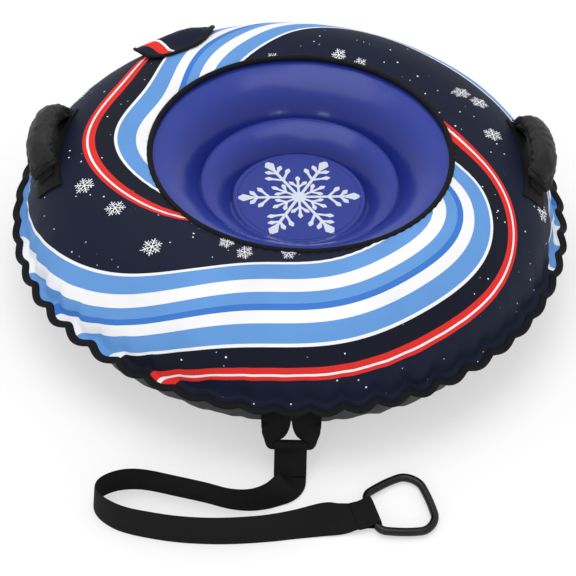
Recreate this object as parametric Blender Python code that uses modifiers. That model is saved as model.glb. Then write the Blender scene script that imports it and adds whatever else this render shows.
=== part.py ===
"""Snow tube: an inflated ring with a stepped seat, in a sewn cover with two padded handles and a tow strap.

Metres, +Z up. The origin is the middle of the flat underside, on the floor. The tow side faces -Y.
Each sub-part is one named object in the collection Snow_Tube.
"""
import math

import bmesh
import bpy
from mathutils import Matrix, Vector

# Driving sizes of the whole tube
SEAM_RADIUS = 0.450
COVER_RADIUS = 0.427
CREST_RADIUS = 0.292
RIM_RADIUS = 0.245
BASE_RADIUS = 0.312
TUBE_HEIGHT = 0.241
SEAM_HEIGHT = 0.108
RIM_DROP = 0.0055
RIM_HEIGHT = TUBE_HEIGHT - RIM_DROP
GAP = 0.0003

# Covers and their seam
TOP_FABRIC = 0.0016
BASE_FABRIC = 0.0020
COVER_CLEARANCE = 0.0004
FLANGE_INSET = 0.0100
FLANGE_RADIUS = SEAM_RADIUS - FLANGE_INSET
FLANGE_FABRIC = 0.0016
FLANGE_FILLET = 0.0030
SEAM_TAPE = 0.0014
SEAM_TAPE_HALF_WIDTH = 0.0085
SEAM_TAPE_INSET = 0.0075
SEAM_TAPE_CENTRE = SEAM_RADIUS - SEAM_TAPE_INSET
SCALLOPS = 54
SCALLOP_DEPTH = 0.0045
SCALLOP_SHARES = (-1.0, 0.65, 0.65)

# Opening in the top cover, with its elastic
RIM_TAPE_RADIUS = 0.0046
RIM_TAPE_WALL = 0.0012
RIM_MOUTH_DEG = 23.0
ELASTIC_HALF_WIDTH = 0.0011
ELASTIC_HALF_HEIGHT = 0.0012

# Stepped seat
STEP_RADIUS = 0.162
STEP_HEIGHT = 0.166
FLOOR_RADIUS = 0.110
FLOOR_HEIGHT = 0.132
FLOOR_SHEET = 0.0012
SEAT_RING_BOTTOM = 0.060
WELD_RADIUS = 0.102
WELD_HALF_WIDTH = 0.0016
WELD_RISE = 0.0006

# Handles
HANDLE_SECTION_DEG = 45.0
HANDLE_TURN_DEG = 6.7
HANDLE_WEB_WIDTH = 0.050
HANDLE_WEB = 0.0020
HANDLE_BASE_HALF = 0.096
HANDLE_BASE_SHIFT = 0.015
GRIP_HALF_SPAN = 0.065
GRIP_RISE = 0.043
GRIP_HALF_WIDTH = 0.0230
GRIP_HALF_DEPTH = 0.0170
GRIP_END_HALF_DEPTH = 0.0034
GRIP_FABRIC = 0.0012
GRIP_STRAP_HALF_WIDTH = 0.0150
GRIP_STRAP = 0.0022
GRIP_SLOT_HALF_WIDTH = 0.0175
GRIP_SLOT_HALF_DEPTH = 0.0019

# Tow loop of webbing, sewn below the seam at the front
TOW_TURN_DEG = -90.0
TOW_ANCHOR_HALF_WIDTH = 0.048
TOW_ANCHOR_WEB = 0.0020
TOW_WEB = 0.0022
TOW_LEG_HALF_WIDTH = 0.0225
TOW_LEG_OFFSET = 0.0228
TOW_TOP_Y = -0.4269
TOW_TOP_Z = 0.0830
TOW_BOTTOM_Y = -0.4590
TOW_BOTTOM_Z = 0.0440
TOW_BUNDLE_HALF_WIDTH = 0.0062
TOW_BUNDLE_HALF_DEPTH = 0.0042

# Tow strap: flat webbing, sewn at its ends round the tow loop and round the ring
STRAP_HALF_WIDTH = 0.0245
STRAP_WEB = 0.0022
STRAP_REST = 0.0004
STRAP_STEPS = 3
FOLD_SLOPE_DEG = 50.0
FOLD_LENGTH = 0.046
RING_FOLD_LENGTH = 0.027

# Tow ring
RING_BAR_RADIUS = 0.006
RING_X = 0.1210
RING_Y = -0.5540
RING_HEADING_DEG = 17.0
RING_SLOPE_DEG = 1.3
RING_DEPTH = 0.086
RING_BAR_HALF = 0.0335
RING_GRIP_HALF = 0.0530
RING_BAR_CORNER = 0.011
RING_GRIP_CORNER = 0.017

# Valve under the flap, at the back left
VALVE_TURN_DEG = 124.0
VALVE_SECTION_DEG = 30.0
VALVE_FLANGE_RADIUS = 0.024
VALVE_FLANGE = 0.0015
VALVE_BODY_RADIUS = 0.0145
VALVE_BODY_DEPTH = 0.013
VALVE_NECK_RADIUS = 0.0125
VALVE_NECK_RISE = 0.0040
VALVE_BORE_RADIUS = 0.0088
VALVE_SEAT_DEPTH = 0.0032
VALVE_LEDGE = 0.0022
VALVE_LEDGE_BORE = 0.0060
VALVE_CAP_RADIUS = 0.0140
VALVE_CAP_HEIGHT = 0.0028
VALVE_PLUG_DEPTH = 0.0070
DIAPHRAGM = 0.0008
HATCH_RADIUS = 0.028
HATCH_TAPE_WIDTH = 0.0050
HATCH_TAPE = 0.0012

# Flap over the valve
FLAP_ROOT_RADIUS = 0.395
FLAP_HALF_WIDTH = 0.083
FLAP_REACH = 0.080
FLAP_FABRIC = 0.0016
FLAP_LIFT = 0.0030
FLAP_CREST = 0.022
FLAP_LEFT_CURL = 0.014
FLAP_RIGHT_CURL = 0.008
FLAP_HINGE_OUT = 0.0012
FLAP_HINGE_UP = 0.0013
FLAP_TAPE_RADIUS = 0.0022
HOOK_TAPE = 0.0010
SEAM_STRIP_HALF_WIDTH = 0.050
SEAM_STRIP_HALF_DEPTH = 0.0065

# Angles of the shading and of the inflated steps' sections
SHARP_DEG = 40.0
BULGE_START_DEG = 12.0
BULGE_END_DEG = 82.0

# Counts of facets
SEGMENTS = 48
SMALL_SEGMENTS = 24
FINE_SEGMENTS = 48
GRIP_SIDES = 10
LOOP_SIDES = 8
RIM_ARC_STEPS = 8
FOLD_ARC_STEPS = 6
CORNER_STEPS = 4
RING_BEVEL_STEPS = 2
TAPE_BEVEL_STEPS = 1
HANDLE_BASE_STEPS = (16, 3)
SEAM_STRIP_STEPS = (8, 1)
TOW_ANCHOR_STEPS = 8
FLAP_RINGS = 6
FLAP_SPOKES = 16
FLAP_TAPE_STEPS = 24

# Shapes chosen by hand, as shares of the sizes that they follow
CREST_STEP_SHARES = (0.0, 0.35, 0.70)
SECTION_STEP_SHARES = (0.0, 0.13, 0.26, 0.39, 0.52, 0.65, 0.78, 0.90)
BULGE_STEP_SHARES = (0.0, 0.22, 0.42, 0.60, 0.76, 0.89, 1.0)
GRIP_PATH_SHARES = (
    (1.30, 0.0, 0.0),
    (1.06, 0.0, 0.0),
    (1.00, 0.05, 0.08),
    (0.95, 0.18, 0.32),
    (0.88, 0.40, 0.66),
    (0.77, 0.64, 0.88),
    (0.60, 0.85, 0.98),
    (0.36, 0.96, 1.0),
    (0.12, 1.0, 1.0),
)
TOW_ANCHOR_SHARES = (0.86, 0.76, 0.66, 0.56)
TOW_LEG_SHARES = (
    (1.00, 0.00, 0.00, 0.00),
    (1.01, 0.20, 0.17, 0.00),
    (1.10, 0.42, 0.36, 0.06),
    (1.35, 0.61, 0.54, 0.20),
    (1.58, 0.77, 0.69, 0.60),
    (1.60, 0.94, 0.89, 0.98),
    (1.38, 1.00, 0.985, 1.00),
    (1.10, 1.00, 1.00, 1.00),
    (0.36, 1.00, 1.00, 1.00),
)
GRIP_ROUNDNESS_SHARES = (0.55, 0.90)
SLOT_ROUNDNESS_SHARE = 0.50
LOOP_ROUNDNESS_SHARES = (0.50, 0.90)
FLAP_DOME_SHARES = (0.86, 0.42, 0.38)
FLAP_DOME_POWER = 1.3
FLAP_END_SHARES = (0.62, 1.12)
FLAP_CURL_START_SHARES = (0.45, 0.50)
FLAP_CURL_GAIN = 3.0
FLAP_FADE_SHARE = 0.25
HOOK_ALONG_SHARES = (-0.24, -0.08, 0.08, 0.24)
HOOK_REACH_SHARES = (0.85, 0.885, 0.92)
LOOP_ALONG_SHARES = (-0.26, -0.09, 0.09, 0.26)
LOOP_REACH_SHARES = (0.84, 0.885, 0.93)

# Route of the tow strap's middle line as shares of the seam radius, with its lean in degrees and its
# rise above resting on the floor, again as a share. At lean 90 the webbing stands on edge.
STRAP_ROUTE_SHARES = (
    (0.0000, -1.0918, 7.0, 0.0080),
    (-0.0012, -1.1140, 19.0, 0.0020),
    (-0.0130, -1.1420, 40.0, 0.0),
    (-0.0400, -1.1720, 62.0, 0.0),
    (-0.0800, -1.2010, 78.0, 0.0),
    (-0.1350, -1.2170, 87.0, 0.0),
    (-0.2000, -1.2130, 90.0, 0.0),
    (-0.2750, -1.1910, 90.0, 0.0),
    (-0.3750, -1.1660, 90.0, 0.0),
    (-0.4700, -1.1440, 90.0, 0.0),
    (-0.5330, -1.1410, 90.0, 0.0),
    (-0.5850, -1.1550, 91.0, 0.0),
    (-0.6220, -1.1830, 92.0, 0.0),
    (-0.6330, -1.2180, 95.0, 0.0),
    (-0.6130, -1.2560, 99.0, 0.0),
    (-0.5720, -1.2880, 102.0, 0.0),
    (-0.5250, -1.3080, 103.0, 0.0),
    (-0.4550, -1.3240, 104.0, 0.0),
    (-0.3640, -1.3380, 104.0, 0.0),
    (-0.2640, -1.3430, 104.0, 0.0),
    (-0.1690, -1.3390, 105.0, 0.0),
    (-0.0690, -1.3270, 107.0, 0.0),
    (0.0290, -1.3050, 115.0, 0.0),
    (0.1100, -1.2780, 136.0, 0.0),
    (0.1650, -1.2590, 163.0, 0.0020),
    (0.2062, -1.2487, 180.0, 0.0160),
)

BLUE_PVC = ("Blue_PVC", (0.036, 0.058, 0.30), 0.32, 0.0)
NAVY_PRINT = ("Printed_polyester", (0.018, 0.026, 0.075), 0.62, 0.0)
BLACK_TAPE = ("Black_binding_tape", (0.008, 0.008, 0.011), 0.70, 0.0)
CHARCOAL_FABRIC = ("Coated_charcoal_fabric", (0.040, 0.040, 0.042), 0.58, 0.0)
BLACK_WEBBING = ("Black_webbing", (0.011, 0.011, 0.011), 0.72, 0.0)
GRIP_SLEEVE = ("Padded_black_fabric", (0.030, 0.030, 0.031), 0.60, 0.0)
GREY_FOAM = ("Grey_foam", (0.20, 0.20, 0.21), 0.90, 0.0)
BLACK_PLASTIC = ("Black_moulded_plastic", (0.012, 0.012, 0.013), 0.35, 0.0)
VALVE_PLASTIC = ("Grey_valve_plastic", (0.10, 0.11, 0.12), 0.40, 0.0)
PALE_RUBBER = ("Pale_rubber", (0.42, 0.43, 0.44), 0.55, 0.0)
HOOK_AND_LOOP = ("Hook_and_loop_tape", (0.015, 0.015, 0.018), 0.85, 0.0)
WOVEN_ELASTIC = ("Woven_elastic", (0.50, 0.50, 0.50), 0.75, 0.0)


def clear_scene():
    """Removes what the scene starts with."""
    for thing in list(bpy.data.objects):
        bpy.data.objects.remove(thing, do_unlink=True)


def collection(name):
    """A collection of that name under the scene."""
    found = bpy.data.collections.get(name) or bpy.data.collections.new(name)
    if name not in bpy.context.scene.collection.children:
        bpy.context.scene.collection.children.link(found)
    return found


def material(finish):
    """The Principled material of a finish: its name, colour, roughness and metallic value."""
    name, colour, roughness, metallic = finish
    made = bpy.data.materials.get(name)
    if made:
        return made
    made = bpy.data.materials.new(name)
    made.use_nodes = True
    shader = made.node_tree.nodes["Principled BSDF"]
    shader.inputs["Base Color"].default_value = (*colour, 1.0)
    shader.inputs["Roughness"].default_value = roughness
    shader.inputs["Metallic"].default_value = metallic
    made.diffuse_color = (*colour, 1.0)
    return made


def add_object(name, data, finish):
    """Puts mesh or curve data in the tube's collection as a named object."""
    made = bpy.data.objects.new(name, data)
    collection("Snow_Tube").objects.link(made)
    data.materials.append(material(finish))
    return made


def add_helper(name, data):
    """A cutter or guide, left out of the part."""
    made = bpy.data.objects.new(name, data)
    collection("Cutters").objects.link(made)
    made.hide_render = True
    made.display_type = "WIRE"
    return made


def mesh_from(name, builder):
    """A mesh filled by builder(bm), with its faces turned outwards and shaded smooth."""
    mesh = bpy.data.meshes.new(name)
    bm = bmesh.new()
    builder(bm)
    bmesh.ops.recalc_face_normals(bm, faces=bm.faces)
    bm.to_mesh(mesh)
    bm.free()
    mesh.shade_smooth()
    mesh.set_sharp_from_angle(angle=math.radians(SHARP_DEG))
    return mesh


def add_screw(thing, steps):
    """Turns a profile in the XZ plane once about Z."""
    screw = thing.modifiers.new("Turn", "SCREW")
    screw.axis = "Z"
    screw.angle = math.tau
    screw.steps = steps
    screw.render_steps = steps
    screw.use_merge_vertices = True
    screw.merge_threshold = 0.00005
    return screw


def profile_mesh(name, profile, closed):
    """A mesh of the profile's edges, from (radius, height) pairs."""
    mesh = bpy.data.meshes.new(name)
    points = [(r, 0.0, z) for r, z in profile]
    edges = [(i, i + 1) for i in range(len(points) - 1)]
    if closed:
        edges.append((len(points) - 1, 0))
    mesh.from_pydata(points, edges, [])
    return mesh


def turned(name, profile, finish, closed=True, steps=SEGMENTS):
    """A turned piece. The profile runs down its outer side and up its inner side."""
    made = add_object(name, profile_mesh(name, profile, closed), finish)
    add_screw(made, steps)
    return made


def settled(thing):
    """Replaces an object's modifiers by the mesh that they make."""
    bpy.context.view_layer.update()
    graph = bpy.context.evaluated_depsgraph_get()
    mesh = bpy.data.meshes.new_from_object(thing.evaluated_get(graph), depsgraph=graph)
    thing.modifiers.clear()
    thing.data = mesh
    return thing


def cut(thing, cutter):
    """Takes the cutter's shape out of the object."""
    boolean = thing.modifiers.new("Cut_" + cutter.name, "BOOLEAN")
    boolean.operation = "DIFFERENCE"
    boolean.solver = "EXACT"
    boolean.object = cutter


def cylinder_cutter(name, radius, low, high, frame, segments=SMALL_SEGMENTS):
    """A cylinder about the frame's Z, from low to high."""

    def build(bm):
        bmesh.ops.create_cone(
            bm, cap_ends=True, segments=segments, radius1=radius, radius2=radius, depth=high - low
        )
        bmesh.ops.translate(bm, verts=bm.verts, vec=(0.0, 0.0, (low + high) / 2))

    cutter = add_helper(name, mesh_from(name, build))
    cutter.matrix_world = frame
    return cutter


def lofted(name, rings, finish, cyclic=False):
    """A solid through rings of points. A cyclic one closes on its first ring, as a hollow tube's skin does."""

    def build(bm):
        rows = [[bm.verts.new(point) for point in ring] for ring in rings]
        pairs = list(zip(rows, rows[1:]))
        if cyclic:
            pairs.append((rows[-1], rows[0]))
        for first, second in pairs:
            for i in range(len(first)):
                j = (i + 1) % len(first)
                bm.faces.new((first[i], first[j], second[j], second[i]))
        if not cyclic:
            bm.faces.new(rows[0])
            bm.faces.new(rows[-1])

    return add_object(name, mesh_from(name, build), finish)


def smooth_route(rows, steps):
    """Rows of numbers on one smooth curve through the given rows, with so many steps between two of them."""
    out = []
    last = len(rows) - 1
    for i in range(last):
        a, b, c, d = (rows[max(i - 1, 0)], rows[i], rows[i + 1], rows[min(i + 2, last)])
        for k in range(steps):
            t = k / steps
            out.append(
                tuple(
                    0.5 * (2 * q + (r - p) * t + (2 * p - 5 * q + 4 * r - s) * t**2 + (3 * q - p - 3 * r + s) * t**3)
                    for p, q, r, s in zip(a, b, c, d)
                )
            )
    out.append(tuple(rows[last]))
    return out


def upper_section(lift):
    """The top cover's section, from the opening over the crest to the side, lifted off its outer face."""
    rise = TUBE_HEIGHT - RIM_HEIGHT
    points = []
    for share in CREST_STEP_SHARES:
        r = RIM_RADIUS + (CREST_RADIUS - RIM_RADIUS) * share
        points.append((r, RIM_HEIGHT + rise * math.sin(math.pi / 2 * share) + lift))
    for share in SECTION_STEP_SHARES:
        points.append(section_point(math.pi / 2 * share, lift))
    return points


def section_point(angle, lift):
    """Radius and height on the cover's outer face, at an angle from the crest, lifted off it."""
    r = CREST_RADIUS + (COVER_RADIUS - CREST_RADIUS + lift) * math.sin(angle)
    z = SEAM_HEIGHT + (TUBE_HEIGHT - SEAM_HEIGHT + lift) * math.cos(angle)
    return r, z


def lower_section(lift):
    """The bottom cover's section, from the side down to the edge of the flat underside."""
    points = []
    for share in reversed(SECTION_STEP_SHARES):
        angle = math.pi / 2 * share
        r = BASE_RADIUS + (COVER_RADIUS - BASE_RADIUS + lift) * math.sin(angle)
        points.append((r, SEAM_HEIGHT - (SEAM_HEIGHT + lift) * math.cos(angle)))
    return points


def on_cover(section_deg, turn, lift):
    """A place on the top cover: its position, and the directions along the ring, down the side and outwards."""
    angle = math.radians(section_deg)
    r, z = section_point(angle, lift)
    place = Vector((r * math.cos(turn), r * math.sin(turn), z))
    along = Vector((-math.sin(turn), math.cos(turn), 0))
    down = Vector((math.cos(angle) * math.cos(turn), math.cos(angle) * math.sin(turn), -math.sin(angle)))
    return place, along, down, down.cross(along)


def cover_height(radius, lift):
    """Height of the top cover's outer face at a radius, lifted off it."""
    if radius < CREST_RADIUS:
        share = max(0.0, (radius - RIM_RADIUS) / (CREST_RADIUS - RIM_RADIUS))
        return RIM_HEIGHT + (TUBE_HEIGHT - RIM_HEIGHT) * math.sin(math.pi / 2 * share) + lift
    across = (radius - CREST_RADIUS) / (COVER_RADIUS - CREST_RADIUS + lift)
    return SEAM_HEIGHT + (TUBE_HEIGHT - SEAM_HEIGHT + lift) * math.sqrt(max(0.0, 1.0 - across**2))


def frame_at(place, x_axis, z_axis):
    """A placing matrix from a position, an X direction and a Z direction square to it."""
    x = x_axis.normalized()
    z = z_axis.normalized()
    y = z.cross(x)
    made = Matrix((x, y, z)).transposed().to_4x4()
    made.translation = place
    return made


def bulge(outer, inner):
    """An inflated step's section between two corners: level at the outer one and steep at the inner one."""
    points = []
    for share in BULGE_STEP_SHARES:
        angle = math.radians(BULGE_START_DEG + (BULGE_END_DEG - BULGE_START_DEG) * share)
        points.append((math.sin(angle), math.cos(angle)))
    first, last = points[0], points[-1]
    out = []
    for across, up in points:
        x = (across - first[0]) / (last[0] - first[0])
        y = (up - last[1]) / (first[1] - last[1])
        out.append((outer[0] + (inner[0] - outer[0]) * x, inner[1] + (outer[1] - inner[1]) * y))
    return out


def make_chambers():
    """The inflated ring, the seat ring inside it and the floor sheet of the seat."""
    skin = TOP_FABRIC + COVER_CLEARANCE
    clear = RIM_RADIUS + RIM_TAPE_RADIUS + RIM_TAPE_RADIUS + BASE_FABRIC
    shoulder = [(r, z) for r, z in upper_section(-skin) if r > clear]
    low = lower_section(-(BASE_FABRIC + COVER_CLEARANCE))
    base = low[-1][1]
    under_rim = RIM_HEIGHT - TOP_FABRIC / 2 - RIM_TAPE_RADIUS - GAP - GAP
    inside = bulge((RIM_RADIUS + RIM_TAPE_RADIUS, under_rim), (STEP_RADIUS, STEP_HEIGHT))
    ring = [*shoulder, *low, (STEP_RADIUS, base), *reversed(inside)]
    chamber = turned("main_chamber", ring, BLUE_PVC)

    edge = STEP_RADIUS - GAP
    top = bulge((edge, STEP_HEIGHT - WELD_RISE), (FLOOR_RADIUS, FLOOR_HEIGHT))
    turned("seat_ring", [*reversed(top), (edge, SEAT_RING_BOTTOM), (FLOOR_RADIUS, SEAT_RING_BOTTOM)], BLUE_PVC)

    rim = FLOOR_RADIUS - GAP
    sheet = [
        (0.0, FLOOR_HEIGHT),
        (WELD_RADIUS - WELD_HALF_WIDTH, FLOOR_HEIGHT),
        (WELD_RADIUS, FLOOR_HEIGHT + WELD_RISE),
        (WELD_RADIUS + WELD_HALF_WIDTH, FLOOR_HEIGHT),
        (rim, FLOOR_HEIGHT),
        (rim, FLOOR_HEIGHT - FLOOR_SHEET),
        (0.0, FLOOR_HEIGHT - FLOOR_SHEET),
    ]
    turned("seat_floor", sheet, BLUE_PVC, closed=False)
    return chamber


def make_covers():
    """The printed top cover and the charcoal bottom cover, each with a flange for the seam."""
    half_gap = GAP / 2
    top_z = SEAM_HEIGHT + half_gap
    outer = [
        *upper_section(0.0),
        (COVER_RADIUS, top_z + FLANGE_FABRIC + FLANGE_FILLET),
        (COVER_RADIUS + FLANGE_FILLET / 2, top_z + FLANGE_FABRIC),
        (FLANGE_RADIUS, top_z + FLANGE_FABRIC),
        (FLANGE_RADIUS, top_z),
        (COVER_RADIUS - TOP_FABRIC / 2, top_z),
    ]
    top = turned("top_cover", [*outer, *reversed(upper_section(-TOP_FABRIC))], NAVY_PRINT)

    low_z = SEAM_HEIGHT - half_gap
    inner = lower_section(-BASE_FABRIC)
    under = lower_section(0.0)
    profile = [
        (0.0, BASE_FABRIC),
        *reversed(inner),
        (COVER_RADIUS - BASE_FABRIC / 2, low_z),
        (FLANGE_RADIUS, low_z),
        (FLANGE_RADIUS, low_z - FLANGE_FABRIC),
        (COVER_RADIUS + FLANGE_FILLET / 2, low_z - FLANGE_FABRIC),
        (COVER_RADIUS, low_z - FLANGE_FABRIC - FLANGE_FILLET),
        *under,
        (0.0, 0.0),
    ]
    turned("bottom_cover", profile, CHARCOAL_FABRIC, closed=False)
    return top


def seam_tape_section():
    """A U of tape across the seam: out from the upper lip, round the edge, back, and round the slot."""
    half_slot = GAP / 2 + FLANGE_FABRIC + GAP
    half_tape = half_slot + SEAM_TAPE
    half = SEAM_TAPE_HALF_WIDTH
    bottom = half - SEAM_TAPE
    return (
        (-half, half_tape),
        (half, half_slot),
        (half, -half_slot),
        (-half, -half_tape),
        (-half, -half_slot),
        (bottom, -half_slot),
        (bottom, half_slot),
        (-half, half_slot),
    )


def make_seam_binding():
    """The black tape round the seam, gathered into scallops."""
    section = seam_tape_section()
    stations = SCALLOPS * len(SCALLOP_SHARES)
    rings = []
    for k in range(stations):
        turn = math.tau * k / stations
        shift = SEAM_TAPE_CENTRE + SCALLOP_DEPTH * SCALLOP_SHARES[k % len(SCALLOP_SHARES)]
        rings.append(
            [((shift + x) * math.cos(turn), (shift + x) * math.sin(turn), SEAM_HEIGHT + z) for x, z in section]
        )
    lofted("seam_binding", rings, BLACK_TAPE, cyclic=True)


def make_rim():
    """The tape round the seat opening, open towards the cover's edge, and the elastic inside it."""
    rise = (TUBE_HEIGHT - RIM_HEIGHT) * math.sin(math.pi / 2 * CREST_STEP_SHARES[1])
    run = (CREST_RADIUS - RIM_RADIUS) * CREST_STEP_SHARES[1]
    tilt = math.atan2(rise, run)
    centre_r = RIM_RADIUS - GAP - GAP
    centre_z = RIM_HEIGHT - TOP_FABRIC / 2
    mouth = math.radians(RIM_MOUTH_DEG)
    inner = RIM_TAPE_RADIUS - RIM_TAPE_WALL
    points = []
    last = RIM_ARC_STEPS
    for radius, forward in ((RIM_TAPE_RADIUS, True), (inner, False)):
        steps = [mouth + (math.tau - mouth - mouth) * i / last for i in range(last + 1)]
        for angle in steps if forward else reversed(steps):
            turn = tilt - angle
            points.append((centre_r + radius * math.cos(turn), centre_z + radius * math.sin(turn)))
    turned("rim_binding", points, BLACK_TAPE)

    middle = centre_r - ELASTIC_HALF_WIDTH - GAP / 2
    elastic = [
        (middle - ELASTIC_HALF_WIDTH, centre_z + ELASTIC_HALF_HEIGHT),
        (middle + ELASTIC_HALF_WIDTH, centre_z + ELASTIC_HALF_HEIGHT),
        (middle + ELASTIC_HALF_WIDTH, centre_z - ELASTIC_HALF_HEIGHT),
        (middle - ELASTIC_HALF_WIDTH, centre_z - ELASTIC_HALF_HEIGHT),
    ]
    turned("rim_elastic", elastic, WOVEN_ELASTIC)


def padded_sheet(name, rows, thickness, finish):
    """A sheet through a grid of points, given its thickness outwards from them."""
    mesh = bpy.data.meshes.new(name)
    across = len(rows[0])
    points = [point for row in rows for point in row]
    faces = []
    for i in range(len(rows) - 1):
        for j in range(across - 1):
            a = i * across + j
            faces.append((a, a + 1, a + 1 + across, a + across))
    mesh.from_pydata(points, [], faces)
    return thickened(name, mesh, thickness, finish)


def thickened(name, mesh, thickness, finish):
    """An open mesh given its thickness on the side that its faces look to."""
    mesh.shade_smooth()
    made = add_object(name, mesh, finish)
    shell = made.modifiers.new("Thickness", "SOLIDIFY")
    shell.thickness = thickness
    shell.offset = 1.0
    shell.use_even_offset = True
    return made


def cover_patch(name, section_deg, turn_deg, grid, lift, thickness, finish):
    """A patch lying on the top cover. The grid holds offsets along the ring and down the side."""
    reach = COVER_RADIUS - CREST_RADIUS
    rows = []
    for row in grid:
        points = []
        for along, down in row:
            section = section_deg + math.degrees(down / reach)
            radius = section_point(math.radians(section), lift)[0]
            turn = math.radians(turn_deg) + along / radius
            points.append(on_cover(section, turn, lift)[0])
        rows.append(points)
    return padded_sheet(name, rows, thickness, finish)


def even_grid(half_along, half_down, along_steps, down_steps):
    """Offsets of a patch's grid, even in both directions."""
    rows = []
    for i in range(along_steps + 1):
        along = half_along * (2 * i / along_steps - 1)
        rows.append([(along, half_down * (2 * j / down_steps - 1)) for j in range(down_steps + 1)])
    return rows


def section_ring(centre, wide, deep, half_width, half_depth, roundness, sides):
    """A ring of points about a centre: an ellipse at roundness 1, squarer below it."""
    ring = []
    for k in range(sides):
        angle = math.tau * (k + 0.5) / sides
        c, s = math.cos(angle), math.sin(angle)
        x = math.copysign(abs(c) ** roundness, c) * half_width
        y = math.copysign(abs(s) ** roundness, s) * half_depth
        ring.append(centre + wide * x + deep * y)
    return ring


def grip_stations(turn_deg):
    """Places along a handle's arch: position, the way of the run, width and depth, and the share of padding."""
    start = GAP + HANDLE_WEB + GAP + GRIP_END_HALF_DEPTH
    tab = GAP + HANDLE_WEB + GAP + GRIP_STRAP / 2
    radius = section_point(math.radians(HANDLE_SECTION_DEG), 0.0)[0]
    shares = [(-u, h, d) for u, h, d in GRIP_PATH_SHARES]
    shares += [(u, h, d) for u, h, d in reversed(GRIP_PATH_SHARES)]
    stations = []
    for i, (u, h, d) in enumerate(shares):
        end = i in (0, len(shares) - 1)
        lift = tab if end else start + (GRIP_RISE - start) * h
        turn = math.radians(turn_deg) + u * GRIP_HALF_SPAN / radius
        place, _, down, _ = on_cover(HANDLE_SECTION_DEG, turn, lift)
        stations.append((place, down, d))
    made = []
    for i, (place, down, d) in enumerate(stations):
        before = stations[max(i - 1, 0)][0]
        after = stations[min(i + 1, len(stations) - 1)][0]
        run = (after - before).normalized()
        deep = down.cross(run).normalized()
        if i in (0, len(stations) - 1):
            deep = down.cross(on_cover(HANDLE_SECTION_DEG, math.atan2(place.y, place.x), 0.0)[1]).normalized()
        made.append((place, down, deep, d))
    return made


def make_handle(side, turn_deg):
    """One padded handle: the strip sewn to the cover, the strap over it, its foam and its sleeve."""
    grid = even_grid(HANDLE_BASE_HALF, HANDLE_WEB_WIDTH / 2, *HANDLE_BASE_STEPS)
    forward = -HANDLE_BASE_SHIFT if math.cos(math.radians(turn_deg)) > 0 else HANDLE_BASE_SHIFT
    grid = [[(along + forward, down) for along, down in row] for row in grid]
    cover_patch(side + "_handle_base", HANDLE_SECTION_DEG, turn_deg, grid, GAP, HANDLE_WEB, BLACK_WEBBING)

    stations = grip_stations(turn_deg)
    strap = []
    for place, wide, deep, _ in stations:
        x = wide * GRIP_STRAP_HALF_WIDTH
        y = deep * (GRIP_STRAP / 2)
        strap.append([place - x - y, place + x - y, place + x + y, place - x + y])
    lofted(side + "_handle_strap", strap, BLACK_WEBBING)

    outer, inner = [], []
    foam_outer, foam_slot = [], []
    for place, wide, deep, share in stations[1:-1]:
        half_depth = GRIP_END_HALF_DEPTH + (GRIP_HALF_DEPTH - GRIP_END_HALF_DEPTH) * share
        half_width = GRIP_HALF_WIDTH
        roundness = GRIP_ROUNDNESS_SHARES[0] + (GRIP_ROUNDNESS_SHARES[1] - GRIP_ROUNDNESS_SHARES[0]) * share
        ring = (place, wide, deep)
        outer.append(section_ring(*ring, half_width, half_depth, roundness, GRIP_SIDES))
        width, depth = half_width - GRIP_FABRIC, half_depth - GRIP_FABRIC
        inner.append(section_ring(*ring, width, depth, roundness, GRIP_SIDES))
        if share > GRIP_PATH_SHARES[3][2]:
            width, depth = width - GAP, depth - GAP
            foam_outer.append(section_ring(*ring, width, depth, roundness, GRIP_SIDES))
            slot = (GRIP_SLOT_HALF_WIDTH, GRIP_SLOT_HALF_DEPTH, SLOT_ROUNDNESS_SHARE)
            foam_slot.append(section_ring(*ring, *slot, GRIP_SIDES))
    hollow(side + "_handle_sleeve", outer, inner, GRIP_SLEEVE)
    hollow(side + "_handle_foam", foam_outer, foam_slot, GREY_FOAM)


def hollow(name, outer, inner, finish):
    """A tube between outer and inner rings of points, open at both ends."""

    def build(bm):
        skins = [[[bm.verts.new(p) for p in ring] for ring in rings] for rings in (outer, inner)]
        count = len(outer[0])
        for rows in skins:
            for first, second in zip(rows, rows[1:]):
                for i in range(count):
                    j = (i + 1) % count
                    bm.faces.new((first[i], first[j], second[j], second[i]))
        for end in (0, -1):
            out_ring, in_ring = skins[0][end], skins[1][end]
            for i in range(count):
                j = (i + 1) % count
                bm.faces.new((out_ring[i], out_ring[j], in_ring[j], in_ring[i]))

    return add_object(name, mesh_from(name, build), finish)


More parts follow.
